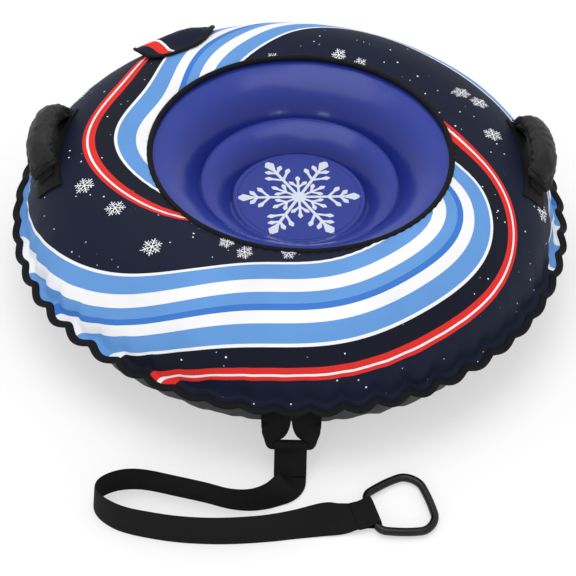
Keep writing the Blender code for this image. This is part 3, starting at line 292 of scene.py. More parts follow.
@dataclass(frozen=True)
class ClothPrint:
    """Printed woven polyester, dyed through and matt: bands that sweep round the tube, small snow crystals
    and dots on navy. The weave gives it a fine grain and soft, wide highlights."""

    name: str = "printed_polyester_cloth"
    navy: str = "10162C"
    deep_navy: str = "0A0F20"
    sky: str = "659AD9"
    blue: str = "3F7ACB"
    white: str = "F4F4F7"
    red: str = "E2302C"
    thread: float = 1.4 * MM
    crystal: float = 84 * MM
    fleck: float = 11 * MM
    roughness: float = 0.62
    sheet: Pair = (0.35, 0.134)
    sways: tuple[Point, ...] = ((3.0, 0.6, 0.10), (7.0, 2.1, 0.018))

    def build(self) -> bpy.types.Material:
        """Makes the material."""
        made = Shading(self.name)
        tree = made.tree
        place = add_node(tree, "ShaderNodeTexCoord").outputs["Object"]
        x, y, z = add_node(tree, SEPARATE, {0: place}).outputs
        turn = add_node(tree, MATH, {0: y, 1: x}, operation="ARCTAN2")
        flat = add_node(tree, COMBINE, {0: x, 1: y})
        radius = add_node(tree, VECTOR_MATH, {0: flat}, operation="LENGTH").outputs["Value"]
        out = add_node(tree, MATH, {0: radius, 1: TUBE.crest_radius}, operation="SUBTRACT")
        up = add_node(tree, MATH, {0: z, 1: TUBE.seam_height}, operation="SUBTRACT")
        section = add_node(tree, MATH, {0: out, 1: up}, operation="ARCTAN2")
        wave = self.wave(tree, turn, section)
        bands, navy = (add_node(tree, COLOUR_RAMP, {0: wave}) for _ in range(2))
        colour_steps(bands.color_ramp, self.stops(), "CONSTANT")
        colour_steps(navy.color_ramp, self.mask(), "CONSTANT")
        marks = self.flecks(tree, place)
        if self.crystal:
            crystals = self.crystals(tree, turn, section)
            marks = add_node(tree, MATH, {0: marks, 1: crystals}, operation="MAXIMUM")
        shown = add_node(tree, MATH, {0: marks, 1: navy}, operation="MULTIPLY")
        printed = add_node(tree, MIX, {0: shown, 6: bands, 7: linear(self.white)}, data_type="RGBA")
        cloudy = add_node(tree, NOISE, {"Vector": place, "Scale": 9.0, "Detail": 3.0})
        shade = add_node(tree, MAP_RANGE, {0: cloudy, 1: 0.3, 2: 0.7, 3: 0.93, 4: 1.05})
        dyed = add_node(tree, VECTOR_MATH, {0: printed.outputs[2], "Scale": shade}, operation="SCALE")
        made.show(Base_Color=dyed.outputs[0], Roughness=self.roughness, Specular_IOR_Level=0.14)
        return made.show(Normal=made.weave(place, self.thread, 0.10))

    def wave(self, tree: Tree, turn: Node, section: Node) -> Node:
        """A value from 0 to 1 that climbs across the bands and runs round the tube in two arms."""
        level = add_node(tree, MATH, {0: turn, 1: 2 / math.tau, 2: 0.64}, operation="MULTIPLY_ADD")
        level = add_node(tree, MATH, {0: section, 1: 0.40, 2: level}, operation="MULTIPLY_ADD")
        for rate, shift, sway in self.sways:
            phase = add_node(tree, MATH, {0: turn, 1: rate, 2: shift}, operation="MULTIPLY_ADD")
            sine = add_node(tree, MATH, {0: phase}, operation="SINE")
            level = add_node(tree, MATH, {0: sine, 1: sway, 2: level}, operation="MULTIPLY_ADD")
        return add_node(tree, MATH, {0: level}, operation="FRACT")

    def stops(self) -> list[tuple[float, str]]:
        """Where each colour of the bands starts."""
        starts = (0.0, 0.13, 0.145, 0.24, 0.31, 0.37, 0.40, 0.46, 0.55, 0.565, 0.66, 0.69, 0.702, 0.722)
        sweep = (self.navy, self.white, self.sky, self.white, self.sky, self.blue, self.white, self.sky)
        line = (self.white, self.deep_navy, self.red, self.white, self.red, self.navy)
        return list(zip(starts, sweep + line))

    def mask(self) -> list[tuple[float, str]]:
        """White where crystals and flecks are printed, which is on navy only."""
        return [(0.0, "FFFFFF"), (0.125, "000000"), (0.57, "FFFFFF"), (0.655, "000000"), (0.728, "FFFFFF")]

    def flecks(self, tree: Tree, place: Socket) -> Node:
        """Small round dots of snow, most cells left empty."""
        grid = {"Vector": place, "Scale": 1.0 / self.fleck, "Randomness": 1.0}
        cells = add_node(tree, CELLS, grid, feature="F1")
        pick = add_node(tree, "ShaderNodeSeparateColor", {0: cells.outputs["Color"]})
        size = add_node(tree, MAP_RANGE, {0: pick, 1: 0.45, 2: 1.0, 3: 0.0, 4: 0.15})
        return add_node(tree, MATH, {0: cells, 1: size}, operation="LESS_THAN")

    def crystals(self, tree: Tree, turn: Node, section: Node) -> Node:
        """Plain six-armed snow crystals, one in some cells of a grid that follows the cover.

        Args:
            tree: The material's tree.
            turn: The turn about Z.
            section: The angle of the cover's section.

        Returns:
            A node that gives 1 on a crystal's strokes. Only crystals with room on the navy are kept.
        """
        spread = [
            add_node(tree, MATH, {0: value, 1: size / self.crystal}, operation="MULTIPLY")
            for value, size in zip((turn, section), self.sheet)
        ]
        sheet = add_node(tree, COMBINE, dict(enumerate(spread)))
        grid = {"Vector": sheet, "Scale": 1.0, "Randomness": 0.7}
        cells = add_node(tree, CELLS, grid, feature="F1", voronoi_dimensions="2D")
        reach, middle = cells.outputs["Distance"], cells.outputs["Position"]
        away = add_node(tree, VECTOR_MATH, {0: sheet, 1: middle}, operation="SUBTRACT")
        x, y, _ = add_node(tree, SEPARATE, {0: away}).outputs
        angle = add_node(tree, MATH, {0: y, 1: x}, operation="ARCTAN2")
        folded = add_node(tree, MATH, {0: angle, 1: math.tau / 12}, operation="PINGPONG")
        sine, cosine = (add_node(tree, MATH, {0: folded}, operation=kind) for kind in ("SINE", "COSINE"))
        off = add_node(tree, MATH, {0: reach, 1: sine}, operation="MULTIPLY")
        run = add_node(tree, MATH, {0: reach, 1: cosine}, operation="MULTIPLY")
        chevron = add_node(tree, MATH, {0: off, 1: -0.75, 2: run}, operation="MULTIPLY_ADD")
        short = add_node(tree, MATH, {0: off, 1: 0.062}, operation="LESS_THAN")
        star = add_node(tree, MATH, {0: off, 1: 0.010}, operation="LESS_THAN")
        for place in (0.120, 0.070):
            branch = add_node(tree, MATH, {0: chevron, 1: place, 2: 0.009}, operation="COMPARE")
            branch = add_node(tree, MATH, {0: branch, 1: short}, operation="MULTIPLY")
            star = add_node(tree, MATH, {0: star, 1: branch}, operation="MAXIMUM")
        pick = add_node(tree, "ShaderNodeSeparateColor", {0: cells.outputs["Color"]})
        middle_turn, middle_section = (
            add_node(tree, MATH, {0: value, 1: self.crystal / size}, operation="MULTIPLY")
            for value, size in zip(add_node(tree, SEPARATE, {0: middle}).outputs, self.sheet)
        )
        roomy = add_node(tree, COLOUR_RAMP, {0: self.wave(tree, middle_turn, middle_section)})
        colour_steps(roomy.color_ramp, [(0.0, "FFFFFF"), (0.075, "000000"), (0.78, "FFFFFF")], "CONSTANT")
        within = add_node(tree, MATH, {0: reach, 1: 0.205}, operation="LESS_THAN")
        chosen = add_node(tree, MATH, {0: pick.outputs[1], 1: 0.42}, operation="GREATER_THAN")
        above_seam = add_node(tree, MATH, {0: middle_section, 1: 1.33}, operation="LESS_THAN")
        for keep in (within, chosen, roomy, above_seam):
            star = add_node(tree, MATH, {0: star, 1: keep}, operation="MULTIPLY")
        return star


@dataclass(frozen=True)
class FlapPrint(ClothPrint):
    """The same printed polyester on the flap: dotted navy, one red and one white band near its blunt end."""

    name: str = "printed_polyester_flap"
    crystal: float = 0.0
    blunt_end: float = math.radians(137.5)
    span: float = math.radians(27.0)

    def wave(self, tree: Tree, turn: Node, section: Node) -> Node:
        """The share of the way along the flap from its blunt end, leaning a little down the side."""
        share = {0: turn, 1: -1.0 / self.span, 2: self.blunt_end / self.span}
        along = add_node(tree, MATH, share, operation="MULTIPLY_ADD")
        return add_node(tree, MATH, {0: section, 1: 0.10, 2: along}, operation="MULTIPLY_ADD")

    def stops(self) -> list[tuple[float, str]]:
        """Where each colour of the bands starts."""
        return [(0.0, self.navy), (0.155, self.red), (0.255, self.white), (0.288, self.navy)]

    def mask(self) -> list[tuple[float, str]]:
        """White where flecks are printed."""
        return [(0.0, "FFFFFF"), (0.15, "000000"), (0.30, "FFFFFF")]


@dataclass(frozen=True)
class Plain:
    """A finish of one colour with a fine texture, told apart by its numbers."""

    name: str
    colour: str
    shade: str
    roughness: float
    grain: float
    strength: float
    sheen: float = 0.0
    specular: float = 0.16

    def build(self) -> bpy.types.Material:
        """Makes the material: two close shades mottled together, with a grain in the bump and the gloss."""
        made = Shading(self.name)
        place = add_node(made.tree, "ShaderNodeTexCoord").outputs["Object"]
        mottle = add_node(made.tree, NOISE, {"Vector": place, "Scale": 28.0, "Detail": 4.0})
        shades = {0: mottle, 6: linear(self.colour), 7: linear(self.shade)}
        mixed = add_node(made.tree, MIX, shades, data_type="RGBA")
        spread = {0: mottle, 1: 0.3, 2: 0.7, 3: self.roughness - 0.05, 4: self.roughness + 0.05}
        gloss = add_node(made.tree, MAP_RANGE, spread)
        made.show(Base_Color=mixed.outputs[2], Roughness=gloss.outputs[0])
        made.show(Sheen_Weight=self.sheen, Specular_IOR_Level=self.specular)
        return made.show(Normal=made.weave(place, self.grain, self.strength))


@dataclass(frozen=True)
class Webbing:
    """Woven polypropylene webbing: ribs across its width, read from the piece's own UV map in metres.
    It is matt black with a faint sparkle where the ribs catch the light, and painted shade darkens its colour
    in the grooves between the ribs."""

    name: str = "black_polypropylene_webbing"
    colour: str = "0F0F10"
    # The colour of the painted shade in the grooves between the ribs
    shade: str = "090909"
    rib: float = 1.3 * MM

    def build(self) -> bpy.types.Material:
        """Makes the material."""
        made = Shading(self.name)
        flat = add_node(made.tree, "ShaderNodeUVMap", uv_map="weave")
        across, along, _ = add_node(made.tree, SEPARATE, {0: flat}).outputs
        waves = []
        for place, pitch in ((along, self.rib), (across, 3 * self.rib)):
            phase = add_node(made.tree, MATH, {0: place, 1: math.tau / pitch}, operation="MULTIPLY")
            waves.append(add_node(made.tree, MATH, {0: phase}, operation="SINE"))
        height = add_node(made.tree, MATH, {0: waves[1], 1: 0.6, 2: waves[0]}, operation="MULTIPLY_ADD")
        # Painted shade: the colour is darker where the ribs' relief is low and lighter on their tops
        share = add_node(made.tree, MAP_RANGE, {0: height, 1: -1.6, 2: 1.6, 3: 0.0, 4: 1.0})
        shades = {0: share, 6: linear(self.shade), 7: linear(self.colour)}
        mixed = add_node(made.tree, MIX, shades, data_type="RGBA")
        relief = {"Height": height, "Strength": 0.25, "Distance": 0.3 * MM}
        ribbed = add_node(made.tree, "ShaderNodeBump", relief)
        made.show(Base_Color=mixed.outputs[2], Normal=ribbed.outputs["Normal"])
        return made.show(Roughness=0.72, Specular_IOR_Level=0.15)


@dataclass(frozen=True)
class WeldedPvc:
    """Calendered PVC sheet, blown up tight: smooth, with a wide soft shine and a slight unevenness from
    the pressure. Painted shade: a deeper blue is painted just outside each crease, where the sheet turns away
    into the seams."""

    name: str = "blue_pvc_sheet"
    colour: str = "2D3F9C"
    deep: str = "24348E"
    # The colour of the painted shade just outside each crease
    crease: str = "0C1A68"
    roughness: float = 0.22
    reach: float = 0.25

    def build(self) -> bpy.types.Material:
        """Makes the material."""
        made = Shading(self.name)
        place = add_node(made.tree, "ShaderNodeTexCoord").outputs["Object"]
        cloud = add_node(made.tree, NOISE, {"Vector": place, "Scale": 6.0, "Detail": 2.0})
        blues = {0: cloud, 6: linear(self.colour), 7: linear(self.deep)}
        mixed = add_node(made.tree, MIX, blues, data_type="RGBA")
        # Painted shade: the blue is darkened by radius from the seat's middle, most just outside each crease
        flat = {0: place, 1: (1, 1, 0), 2: (-SEAT_SHIFT, 0, 0)}
        middle = add_node(made.tree, VECTOR_MATH, flat, operation="MULTIPLY_ADD")
        radius = add_node(made.tree, VECTOR_MATH, {0: middle}, operation="LENGTH").outputs["Value"]
        share = add_node(made.tree, MATH, {0: radius, 1: self.reach}, operation="DIVIDE")
        depth = add_node(made.tree, COLOUR_RAMP, {0: share})
        colour_steps(depth.color_ramp, self.painted_shade_stops(), "LINEAR")
        blues = {0: depth, 6: mixed.outputs[2], 7: linear(self.crease)}
        painted_shade_blue = add_node(made.tree, MIX, blues, data_type="RGBA")
        soft = add_node(made.tree, NOISE, {"Vector": place, "Scale": 30.0, "Detail": 1.0})
        relief = {"Height": soft, "Strength": 0.05, "Distance": 4 * MM}
        uneven = add_node(made.tree, "ShaderNodeBump", relief)
        made.show(Base_Color=painted_shade_blue.outputs[2], Normal=uneven.outputs["Normal"])
        return made.show(Roughness=self.roughness, Specular_IOR_Level=0.28)

    def painted_shade_stops(self) -> list[tuple[float, str]]:
        """How much painted shade deepens the blue by radius: the most just outside each crease, none on the
        rounds.
        """
        stops = [(0.0, "000000")]
        for crease, fade in ((TUBE.floor_radius, 40 * MM), (TUBE.step_radius, 55 * MM)):
            for away, depth in ((-MM, "000000"), (MM, "D8D8D8"), (fade, "000000")):
                stops.append(((crease + away) / self.reach, depth))
        return stops


class Finish:
    """A material with the record's slot that its pieces belong to."""

    def __init__(self, slot: str, look: ClothPrint | Plain | Webbing | WeldedPvc) -> None:
        """Makes the look's material."""
        self.slot = slot
        self.material = look.build()


class Finishes:
    """Every finish of the tube, made once."""

    def __init__(self) -> None:
        """Makes the finishes."""
        self.cloth = Finish("printed_fabric", ClothPrint())
        self.flap = Finish("printed_fabric", FlapPrint())
        self.pvc = Finish("blue_pvc", WeldedPvc())
        self.webbing = Finish("black_webbing", Webbing())
        # Plain woven tape: near black, a little blue, with a tight matt grain
        tape = Plain("black_woven_binding_tape", "0E0E14", "09090D", 0.72, 1.1 * MM, 0.12)
        self.tape = Finish("binding_tape", tape)
        # Polyester cloth coated to slide: charcoal with a low plastic shine in its creases
        slide = Plain("coated_charcoal_polyester", "404043", "303033", 0.50, 1.3 * MM, 0.10, specular=0.3)
        self.slide = Finish("charcoal_fabric", slide)
        # Padded polyester cloth over foam: dark grey, matt with a soft bloom on its rounds
        grip = Plain("padded_black_polyester", "1C1C1D", "131314", 0.55, 1.0 * MM, 0.12, 0.04, specular=0.26)
        self.grip = Finish("grip_fabric", grip)
        # Injection moulded nylon: black and smooth, with a clear highlight along the bar
        ring = Plain("moulded_black_nylon", "080809", "050506", 0.24, 0.8 * MM, 0.02, specular=0.28)
        self.ring = Finish("ring_plastic", ring)
        # Injection moulded ABS of the valve: dark grey, satin
        valve = Plain("moulded_grey_abs", "5B5E62", "505358", 0.40, 0.8 * MM, 0.02, specular=0.5)
        self.valve = Finish("valve_plastic", valve)
        # Moulded silicone rubber: pale, soft shine
        rubber = Plain("pale_silicone_rubber", "B2B4B6", "A6A8AA", 0.50, 0.8 * MM, 0.03, specular=0.5)
        self.rubber = Finish("valve_rubber", rubber)
        # Hook and loop tape: a dense black pile without shine
        hook = Plain("black_hook_and_loop", "1E1E21", "121214", 0.95, 1.2 * MM, 0.6, 0.3)
        self.hook = Finish("hook_and_loop", hook)
        # Woven rubber-cored elastic: off-white with a coarse rib
        elastic = Plain("white_woven_elastic", "D8D8D6", "C8C8C6", 0.80, 1.0 * MM, 0.3)
        self.elastic = Finish("elastic", elastic)
        # Screen printing ink on PVC: pale and even, flatter than the sheet below it
        self.ink = Finish("blue_pvc", Plain("pale_screen_ink", "E4EAF4", "DCE3F0", 0.55, 1.0 * MM, 0.02))
        # Bonded polyester thread: black, just glossier than the tape that it holds
        thread = Plain("black_polyester_thread", "1A1A1D", "131316", 0.50, 0.6 * MM, 0.10, specular=0.3)
        self.thread = Finish("binding_tape", thread)


FINISH = Finishes()


def smooth(mesh: Mesh, angle: float = 50.0) -> Mesh:
    """Shades a mesh smooth but for edges sharper than the angle in degrees."""
    mesh.shade_smooth()
    mesh.set_sharp_from_angle(angle=math.radians(angle))
    return mesh


def grid_mesh(name: str, rows: Rows, closed: bool = False, looped: bool = False) -> Mesh:
    """A mesh through a grid of points.

    Args:
        name: The mesh's name.
        rows: Rows of points, all of one length.
        closed: Whether each row closes on itself.
        looped: Whether the last row joins the first.

    Returns:
        The mesh, with quads between the rows.
    """
    count, across = len(rows), len(rows[0])
    faces = []
    for i in range(count if looped else count - 1):
        near, far = i * across, (i + 1) % count * across
        for j in range(across if closed else across - 1):
            k = (j + 1) % across
            faces.append((near + j, near + k, far + k, far + j))
    mesh = bpy.data.meshes.new(name)
    mesh.from_pydata([tuple(point) for row in rows for point in row], [], faces)
    return mesh


@contextmanager
def edited(mesh: Mesh) -> Iterator[bmesh.types.BMesh]:
    """The mesh opened for edits, which are written back at the end."""
    bm = bmesh.new()
    bm.from_mesh(mesh)
    yield bm
    bm.to_mesh(mesh)
    bm.free()


def outward(mesh: Mesh, cap: int = 0, weld: float = 0.0) -> Mesh:
    """Closes a swept mesh and turns its faces outwards.

    Args:
        mesh: The mesh.
        cap: How many points its first and last ring have, where each of them gets a face.
        weld: How near points are that become one.

    Returns:
        The same mesh.
    """
    with edited(mesh) as bm:
        if cap:
            points = list(bm.verts)
            bm.faces.new(points[:cap])
            bm.faces.new(points[-cap:])
        if weld:
            bmesh.ops.remove_doubles(bm, verts=bm.verts, dist=weld)
        bmesh.ops.recalc_face_normals(bm, faces=bm.faces)
    return mesh


def ring_mesh(name: str, rows: Rows) -> Mesh:
    """A smooth mesh through rings of points, each closed and the last joined to the first."""
    return smooth(outward(grid_mesh(name, rows, closed=True, looped=True)))


def facing(mesh: Mesh, up: bool = True, cap: slice | None = None) -> Mesh:
    """Turns an open sheet's faces so that most of it looks up, or down.

    Args:
        mesh: The sheet.
        up: Whether it has to look up.
        cap: The points of a ring that gets a face.

    Returns:
        The same mesh.
    """
    with edited(mesh) as bm:
        if cap:
            bm.faces.new(list(bm.verts)[cap])
        bmesh.ops.recalc_face_normals(bm, faces=bm.faces)
        if (sum(face.normal.z * face.calc_area() for face in bm.faces) > 0) != up:
            bmesh.ops.reverse_faces(bm, faces=bm.faces)
    return mesh


def placed(name: str, data: bpy.types.ID) -> Object:
    """Puts data in the scene as an object."""
    made = bpy.data.objects.new(name, data)
    bpy.context.scene.collection.objects.link(made)
    return made


def settle(mesh: Mesh) -> None:
    """Gives the tube the photograph's lie: its seat to the right, its sides out, its opening's front back."""
    near, far = SEAT_SHIFT_REACH
    left, right = SIDE_SWELLS
    inside, rim, crest, outside = RIM_PRESS_REACH
    for vertex in mesh.vertices:
        x, y, _ = vertex.co
        radius = math.hypot(x, y)
        seat = SEAT_SHIFT * eased(-radius, -far, -near)
        side = eased(abs(x), *SIDE_SWELL_REACH)
        vertex.co.x = x + seat + (right * side if x > 0 else -left * side)
        if y < 0:
            press = RIM_PRESS * eased(radius, inside, rim) * eased(-radius, -outside, -crest)
            vertex.co.y = y + press * (y / radius) ** 2


def piece(
    name: str,
    mesh: Mesh,
    finish: Finish,
    replaces: Sequence[str] = (),
    body: Body = Body.TUBE,
) -> Object:
    """Puts a mesh in the scene as a finished piece.

    Args:
        name: The piece's name.
        mesh: Its mesh, in place in the row's frame.
        finish: Its finish.
        replaces: CAD nodes that it stands for.
        body: The CAD body that it rides on.

    Returns:
        The object.
    """
    mesh.materials.clear()
    mesh.materials.append(finish.material)
    if body is Body.TUBE:
        settle(mesh)
    made = placed(name, mesh)
    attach(made, body.value)
    if replaces:
        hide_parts(*replaces)
    LOG.info("%s: %d faces", name, len(mesh.polygons))
    return made


def modified(mesh: Mesh, set_up: Callable[[Object], None]) -> Mesh:
    """The mesh with modifiers applied.

    Args:
        mesh: The mesh to start from.
        set_up: A function that adds modifiers to a passing object.

    Returns:
        A new plain mesh.
    """
    passing = placed("passing", mesh)
    set_up(passing)
    bpy.context.view_layer.update()
    graph = bpy.context.evaluated_depsgraph_get()
    made = bpy.data.meshes.new_from_object(passing.evaluated_get(graph), depsgraph=graph)
    bpy.data.objects.remove(passing)
    made.name = mesh.name
    return made


def walled(mesh: Mesh, thickness: float, offset: float) -> Mesh:
    """A sheet given its thickness: offset 1 grows it along its normals and -1 against them."""

    def set_up(passing: Object) -> None:
        """Adds the wall."""
        wall = passing.modifiers.new("wall", "SOLIDIFY")
        wall.thickness = thickness
        wall.offset = offset
        wall.use_even_offset = True
        wall.use_quality_normals = True

    return modified(mesh, set_up)


@dataclass
class NodeTree:
    """A Geometry Nodes tree with named inputs, run once on an object and turned to a plain mesh."""

    name: str
    inputs: dict[str, float]

    def new_tree(self) -> tuple[Tree, dict[str, Socket], Node]:
        """The empty tree, the sockets of its group input by name, and its group output."""
        tree = bpy.data.node_groups.new(self.name, "GeometryNodeTree")
        tree.interface.new_socket("Geometry", in_out="INPUT", socket_type="NodeSocketGeometry")
        tree.interface.new_socket("Geometry", in_out="OUTPUT", socket_type="NodeSocketGeometry")
        for name, value in self.inputs.items():
            socket = tree.interface.new_socket(name, in_out="INPUT", socket_type="NodeSocketFloat")
            socket.default_value = value
        given = {socket.name: socket for socket in add_node(tree, "NodeGroupInput").outputs}
        return tree, given, add_node(tree, "NodeGroupOutput")

    def close(self, tree: Tree, end: Node, geometry: Node, finish: Finish) -> None:
        """Ends the tree in smooth shading, Realize Instances and Set Material."""
        shaded = add_node(tree, "GeometryNodeSetShadeSmooth", {"Geometry": geometry})
        real = add_node(tree, "GeometryNodeRealizeInstances", {"Geometry": shaded})
        dressed = {"Geometry": real, "Material": finish.material}
        final = add_node(tree, "GeometryNodeSetMaterial", dressed)
        tree.links.new(final.outputs[0], end.inputs[0])

    def run(self, tree: Tree, base: Mesh) -> Mesh:
        """The plain mesh that the tree makes of a base mesh."""

        def set_up(passing: Object) -> None:
            """Adds the tree with its inputs."""
            made = passing.modifiers.new(self.name, "NODES")
            made.node_group = tree
            for item in tree.interface.items_tree:
                if item.in_out == "INPUT" and item.name in self.inputs:
                    made[item.identifier] = self.inputs[item.name]

        return modified(base, set_up)


@dataclass
class StitchRow(NodeTree):
    """A row of stitches along a path: short rounded threads, one after the other."""

    name: str = "stitch_row"
    inputs: dict[str, float] = field(
        default_factory=lambda: {"Spacing": 4.6 * MM, "Length": 3.2 * MM, "Thread": 0.55 * MM}
    )

    def build(self, paths: Paths) -> Mesh:
        """The stitches' mesh.

        Args:
            paths: Lists of points that the rows follow, each with whether it closes.

        Returns:
            The mesh.
        """
        tree, given, end = self.new_tree()
        curve = add_node(tree, "GeometryNodeMeshToCurve", {"Mesh": given["Geometry"]})
        spaced = {"Curve": curve, "Length": given["Spacing"]}
        even = add_node(tree, "GeometryNodeResampleCurve", spaced, mode="LENGTH")
        bead = add_node(tree, "GeometryNodeMeshIcoSphere", {"Radius": 0.5, "Subdivisions": 2})
        size = add_node(tree, COMBINE, {0: given["Length"], 1: given["Thread"], 2: given["Thread"]})
        shaped = add_node(tree, "GeometryNodeTransform", {"Geometry": bead, "Scale": size})
        tangent = add_node(tree, "GeometryNodeInputTangent")
        turned = add_node(tree, "FunctionNodeAlignRotationToVector", {"Vector": tangent}, axis="X")
        spots = {"Points": even, "Instance": shaped, "Rotation": turned}
        self.close(tree, end, add_node(tree, "GeometryNodeInstanceOnPoints", spots), FINISH.thread)
        points: list[Point] = []
        edges = []
        for path, closes in paths:
            first = len(points)
            points += [tuple(p) for p in path]
            edges += [(first + i, first + i + 1) for i in range(len(path) - 1)]
            if closes:
                edges.append((first + len(path) - 1, first))
        base = bpy.data.meshes.new("stitch_paths")
        base.from_pydata(points, edges, [])
        return self.run(tree, base)


def stitches(name: str, paths: Paths, body: Body = Body.TUBE) -> Object:
    """Adds rows of stitches along paths as one piece."""
    return piece(name, StitchRow().build(paths), FINISH.thread, body=body)


@dataclass
class Seat:
    """The blue seat: the ring's inner bulge, the smaller bulge below it, the floor and its snow crystal."""

    sectors: int = 216
    steps: int = 22
    sheet: float = 1.2 * MM
    skin: float = 2.0 * MM
    under_cover: float = 2.4 * MM
    under_rim: Pair = (0.2496, 0.2294)
    side_reach: float = 0.9
    low_hollow: float = 8.0 * MM
    high_hollow: float = 22.0 * MM
    fullness: Pair = (0.85, 0.45)
    pucker_reach: float = 16 * MM
    below: float = 0.060
    floor_rings: int = 30
    weld_radius: float = 0.102
    floor_weld: Pair = (1.1 * MM, 0.7 * MM)
    step_weld: Pair = (1.6 * MM, 1.6 * MM)
    step_weld_drop: float = 0.8 * MM
    puckers: int = 46
    pucker_depth: float = 0.25 * MM
    swell: float = 1.2 * MM
    crystal_reach: float = 0.1035
    ink: float = 0.12 * MM

    def bulge(self, outer: Pair, inner: Pair, fullness: float) -> list[Pair]:
        """An inflated step's section, level at its outer corner and steep at its inner one.

        Args:
            outer: Radius and height of the outer corner.
            inner: Radius and height of the inner corner.
            fullness: How far it is blown up, 0 for a flat slope.

        Returns:
            The section from the outer corner to the inner one.
        """
        start, stop = math.radians(12.0), math.radians(82.0)
        out = []
        for i in range(self.steps + 1):
            angle = start + (stop - start) * (i / self.steps) ** 0.9
            x = (math.sin(angle) - math.sin(start)) / (math.sin(stop) - math.sin(start))
            y = (math.cos(angle) - math.cos(stop)) / (math.cos(start) - math.cos(stop))
            x = x * fullness + (x + 1 - y) / 2 * (1 - fullness)
            out.append((outer[0] + (inner[0] - outer[0]) * x, inner[1] + (outer[1] - inner[1]) * y))
        return out

    def turned(self, name: str, section: Sequence[Pair], crease: float) -> Mesh:
        """A surface turned from a closed section, with puckers that die out away from its crease."""
        rows = []
        for r, z in section:
            near = math.exp(-abs(r - crease) / self.pucker_reach)
            row = []
            for turn in turns(self.sectors):
                wander = noise.noise(Vector(at(3.0, turn, crease * 40)))
                dent = self.pucker_depth * near * math.cos(self.puckers * turn + 5.0 * wander)
                swell = self.swell * noise.noise(Vector(at(r * 18, turn, z * 18)))
                row.append(at(r, turn, z + dent + swell * (1.0 - near)))
            rows.append(row)
        return ring_mesh(name, rows)

    def chamber(self) -> None:
        """The main chamber, from below the cover round its outside and up to the first crease."""
        side = math.pi / 2 * self.side_reach
        section = [(TUBE.step_radius, TUBE.lower(0.0, -self.under_cover)[1])]
        for share in (i / 12 for i in range(13)):
            section.append(TUBE.lower(side * share, -self.under_cover - self.low_hollow * share))
        for share in (1 - i / 18 for i in range(19)):
            section.append(TUBE.upper(side * share, -self.skin - self.high_hollow * max(0.0, share - 0.5)))
        section += [TUBE.inner(share, -self.skin) for share in (0.7, 0.35)]
        section += self.bulge(self.under_rim, (TUBE.step_radius, TUBE.step_height), self.fullness[0])
        mesh = self.turned("seat_and_chamber", section, TUBE.step_radius)
        piece("blue_main_chamber", VALVE.cut_chamber(mesh), FINISH.pvc, ["main_chamber"])

    def ring(self) -> None:
        """The seat ring below the first crease, closed underneath."""
        edge = TUBE.step_radius - GAP
        corners = (edge, TUBE.step_height - 2 * GAP), (TUBE.floor_radius, TUBE.floor_height)
        top = self.bulge(*corners, self.fullness[1])
        section = [(TUBE.floor_radius, self.below), (edge, self.below), *top]
        mesh = self.turned("seat_ring_mesh", section, TUBE.floor_radius)
        piece("blue_seat_ring", mesh, FINISH.pvc, ["seat_ring"])

    def weld(self, name: str, radius: float, height: float, size: Pair) -> None:
        """A raised weld line round the seat, its size half its width and its rise."""
        width, rise = size
        section = [(radius + width * math.cos(a), height + rise * math.sin(a)) for a in turns(16)[:9]]
        section += [(radius - width, height - rise), (radius + width, height - rise)]
        rows = [round_about(r, z, self.sectors) for r, z in section]
        piece(name, ring_mesh(name, rows), FINISH.pvc)

    def floor(self) -> None:
        """The floor sheet with its weld line, and the weld line of the step."""
        rim = TUBE.floor_radius - GAP
        radii = [rim * i / self.floor_rings for i in range(1, self.floor_rings + 1)]
        rows = [round_about(radius, TUBE.floor_height, self.sectors) for radius in radii]
        mesh = facing(grid_mesh("seat_floor_mesh", rows, closed=True), cap=slice(self.sectors))
        piece("blue_seat_floor", smooth(walled(mesh, self.sheet, -1.0)), FINISH.pvc, ["seat_floor"])
        self.weld("floor_weld_line", self.weld_radius, TUBE.floor_height, self.floor_weld)
        crease = TUBE.step_height - self.step_weld_drop
        self.weld("step_weld_line", TUBE.step_radius, crease, self.step_weld)

    def crystal(self) -> None:
        """The large snow crystal printed on the floor, its strokes at slightly different heights."""
        points: list[Point] = []
        faces = []
        for i, outline in enumerate(Crystal(self.crystal_reach).outlines()):
            top = TUBE.floor_height + self.ink * (1.0 + 0.02 * (i % 12))
            upper = list(range(len(points), len(points) + len(outline)))
            lower = [k + len(outline) for k in upper]
            for height in (top, top - self.ink / 2):
                points += [(x, y, height) for x, y in outline]
            faces += [upper, lower]
            faces += [(upper[k - 1], upper[k], lower[k], lower[k - 1]) for k in range(len(upper))]
        mesh = bpy.data.meshes.new("floor_crystal")
        mesh.from_pydata(points, [], faces)
        piece("printed_floor_crystal", outward(mesh), FINISH.ink)

    def build(self) -> None:
        """Builds the seat."""
        self.chamber()
        self.ring()
        self.floor()
        self.crystal()


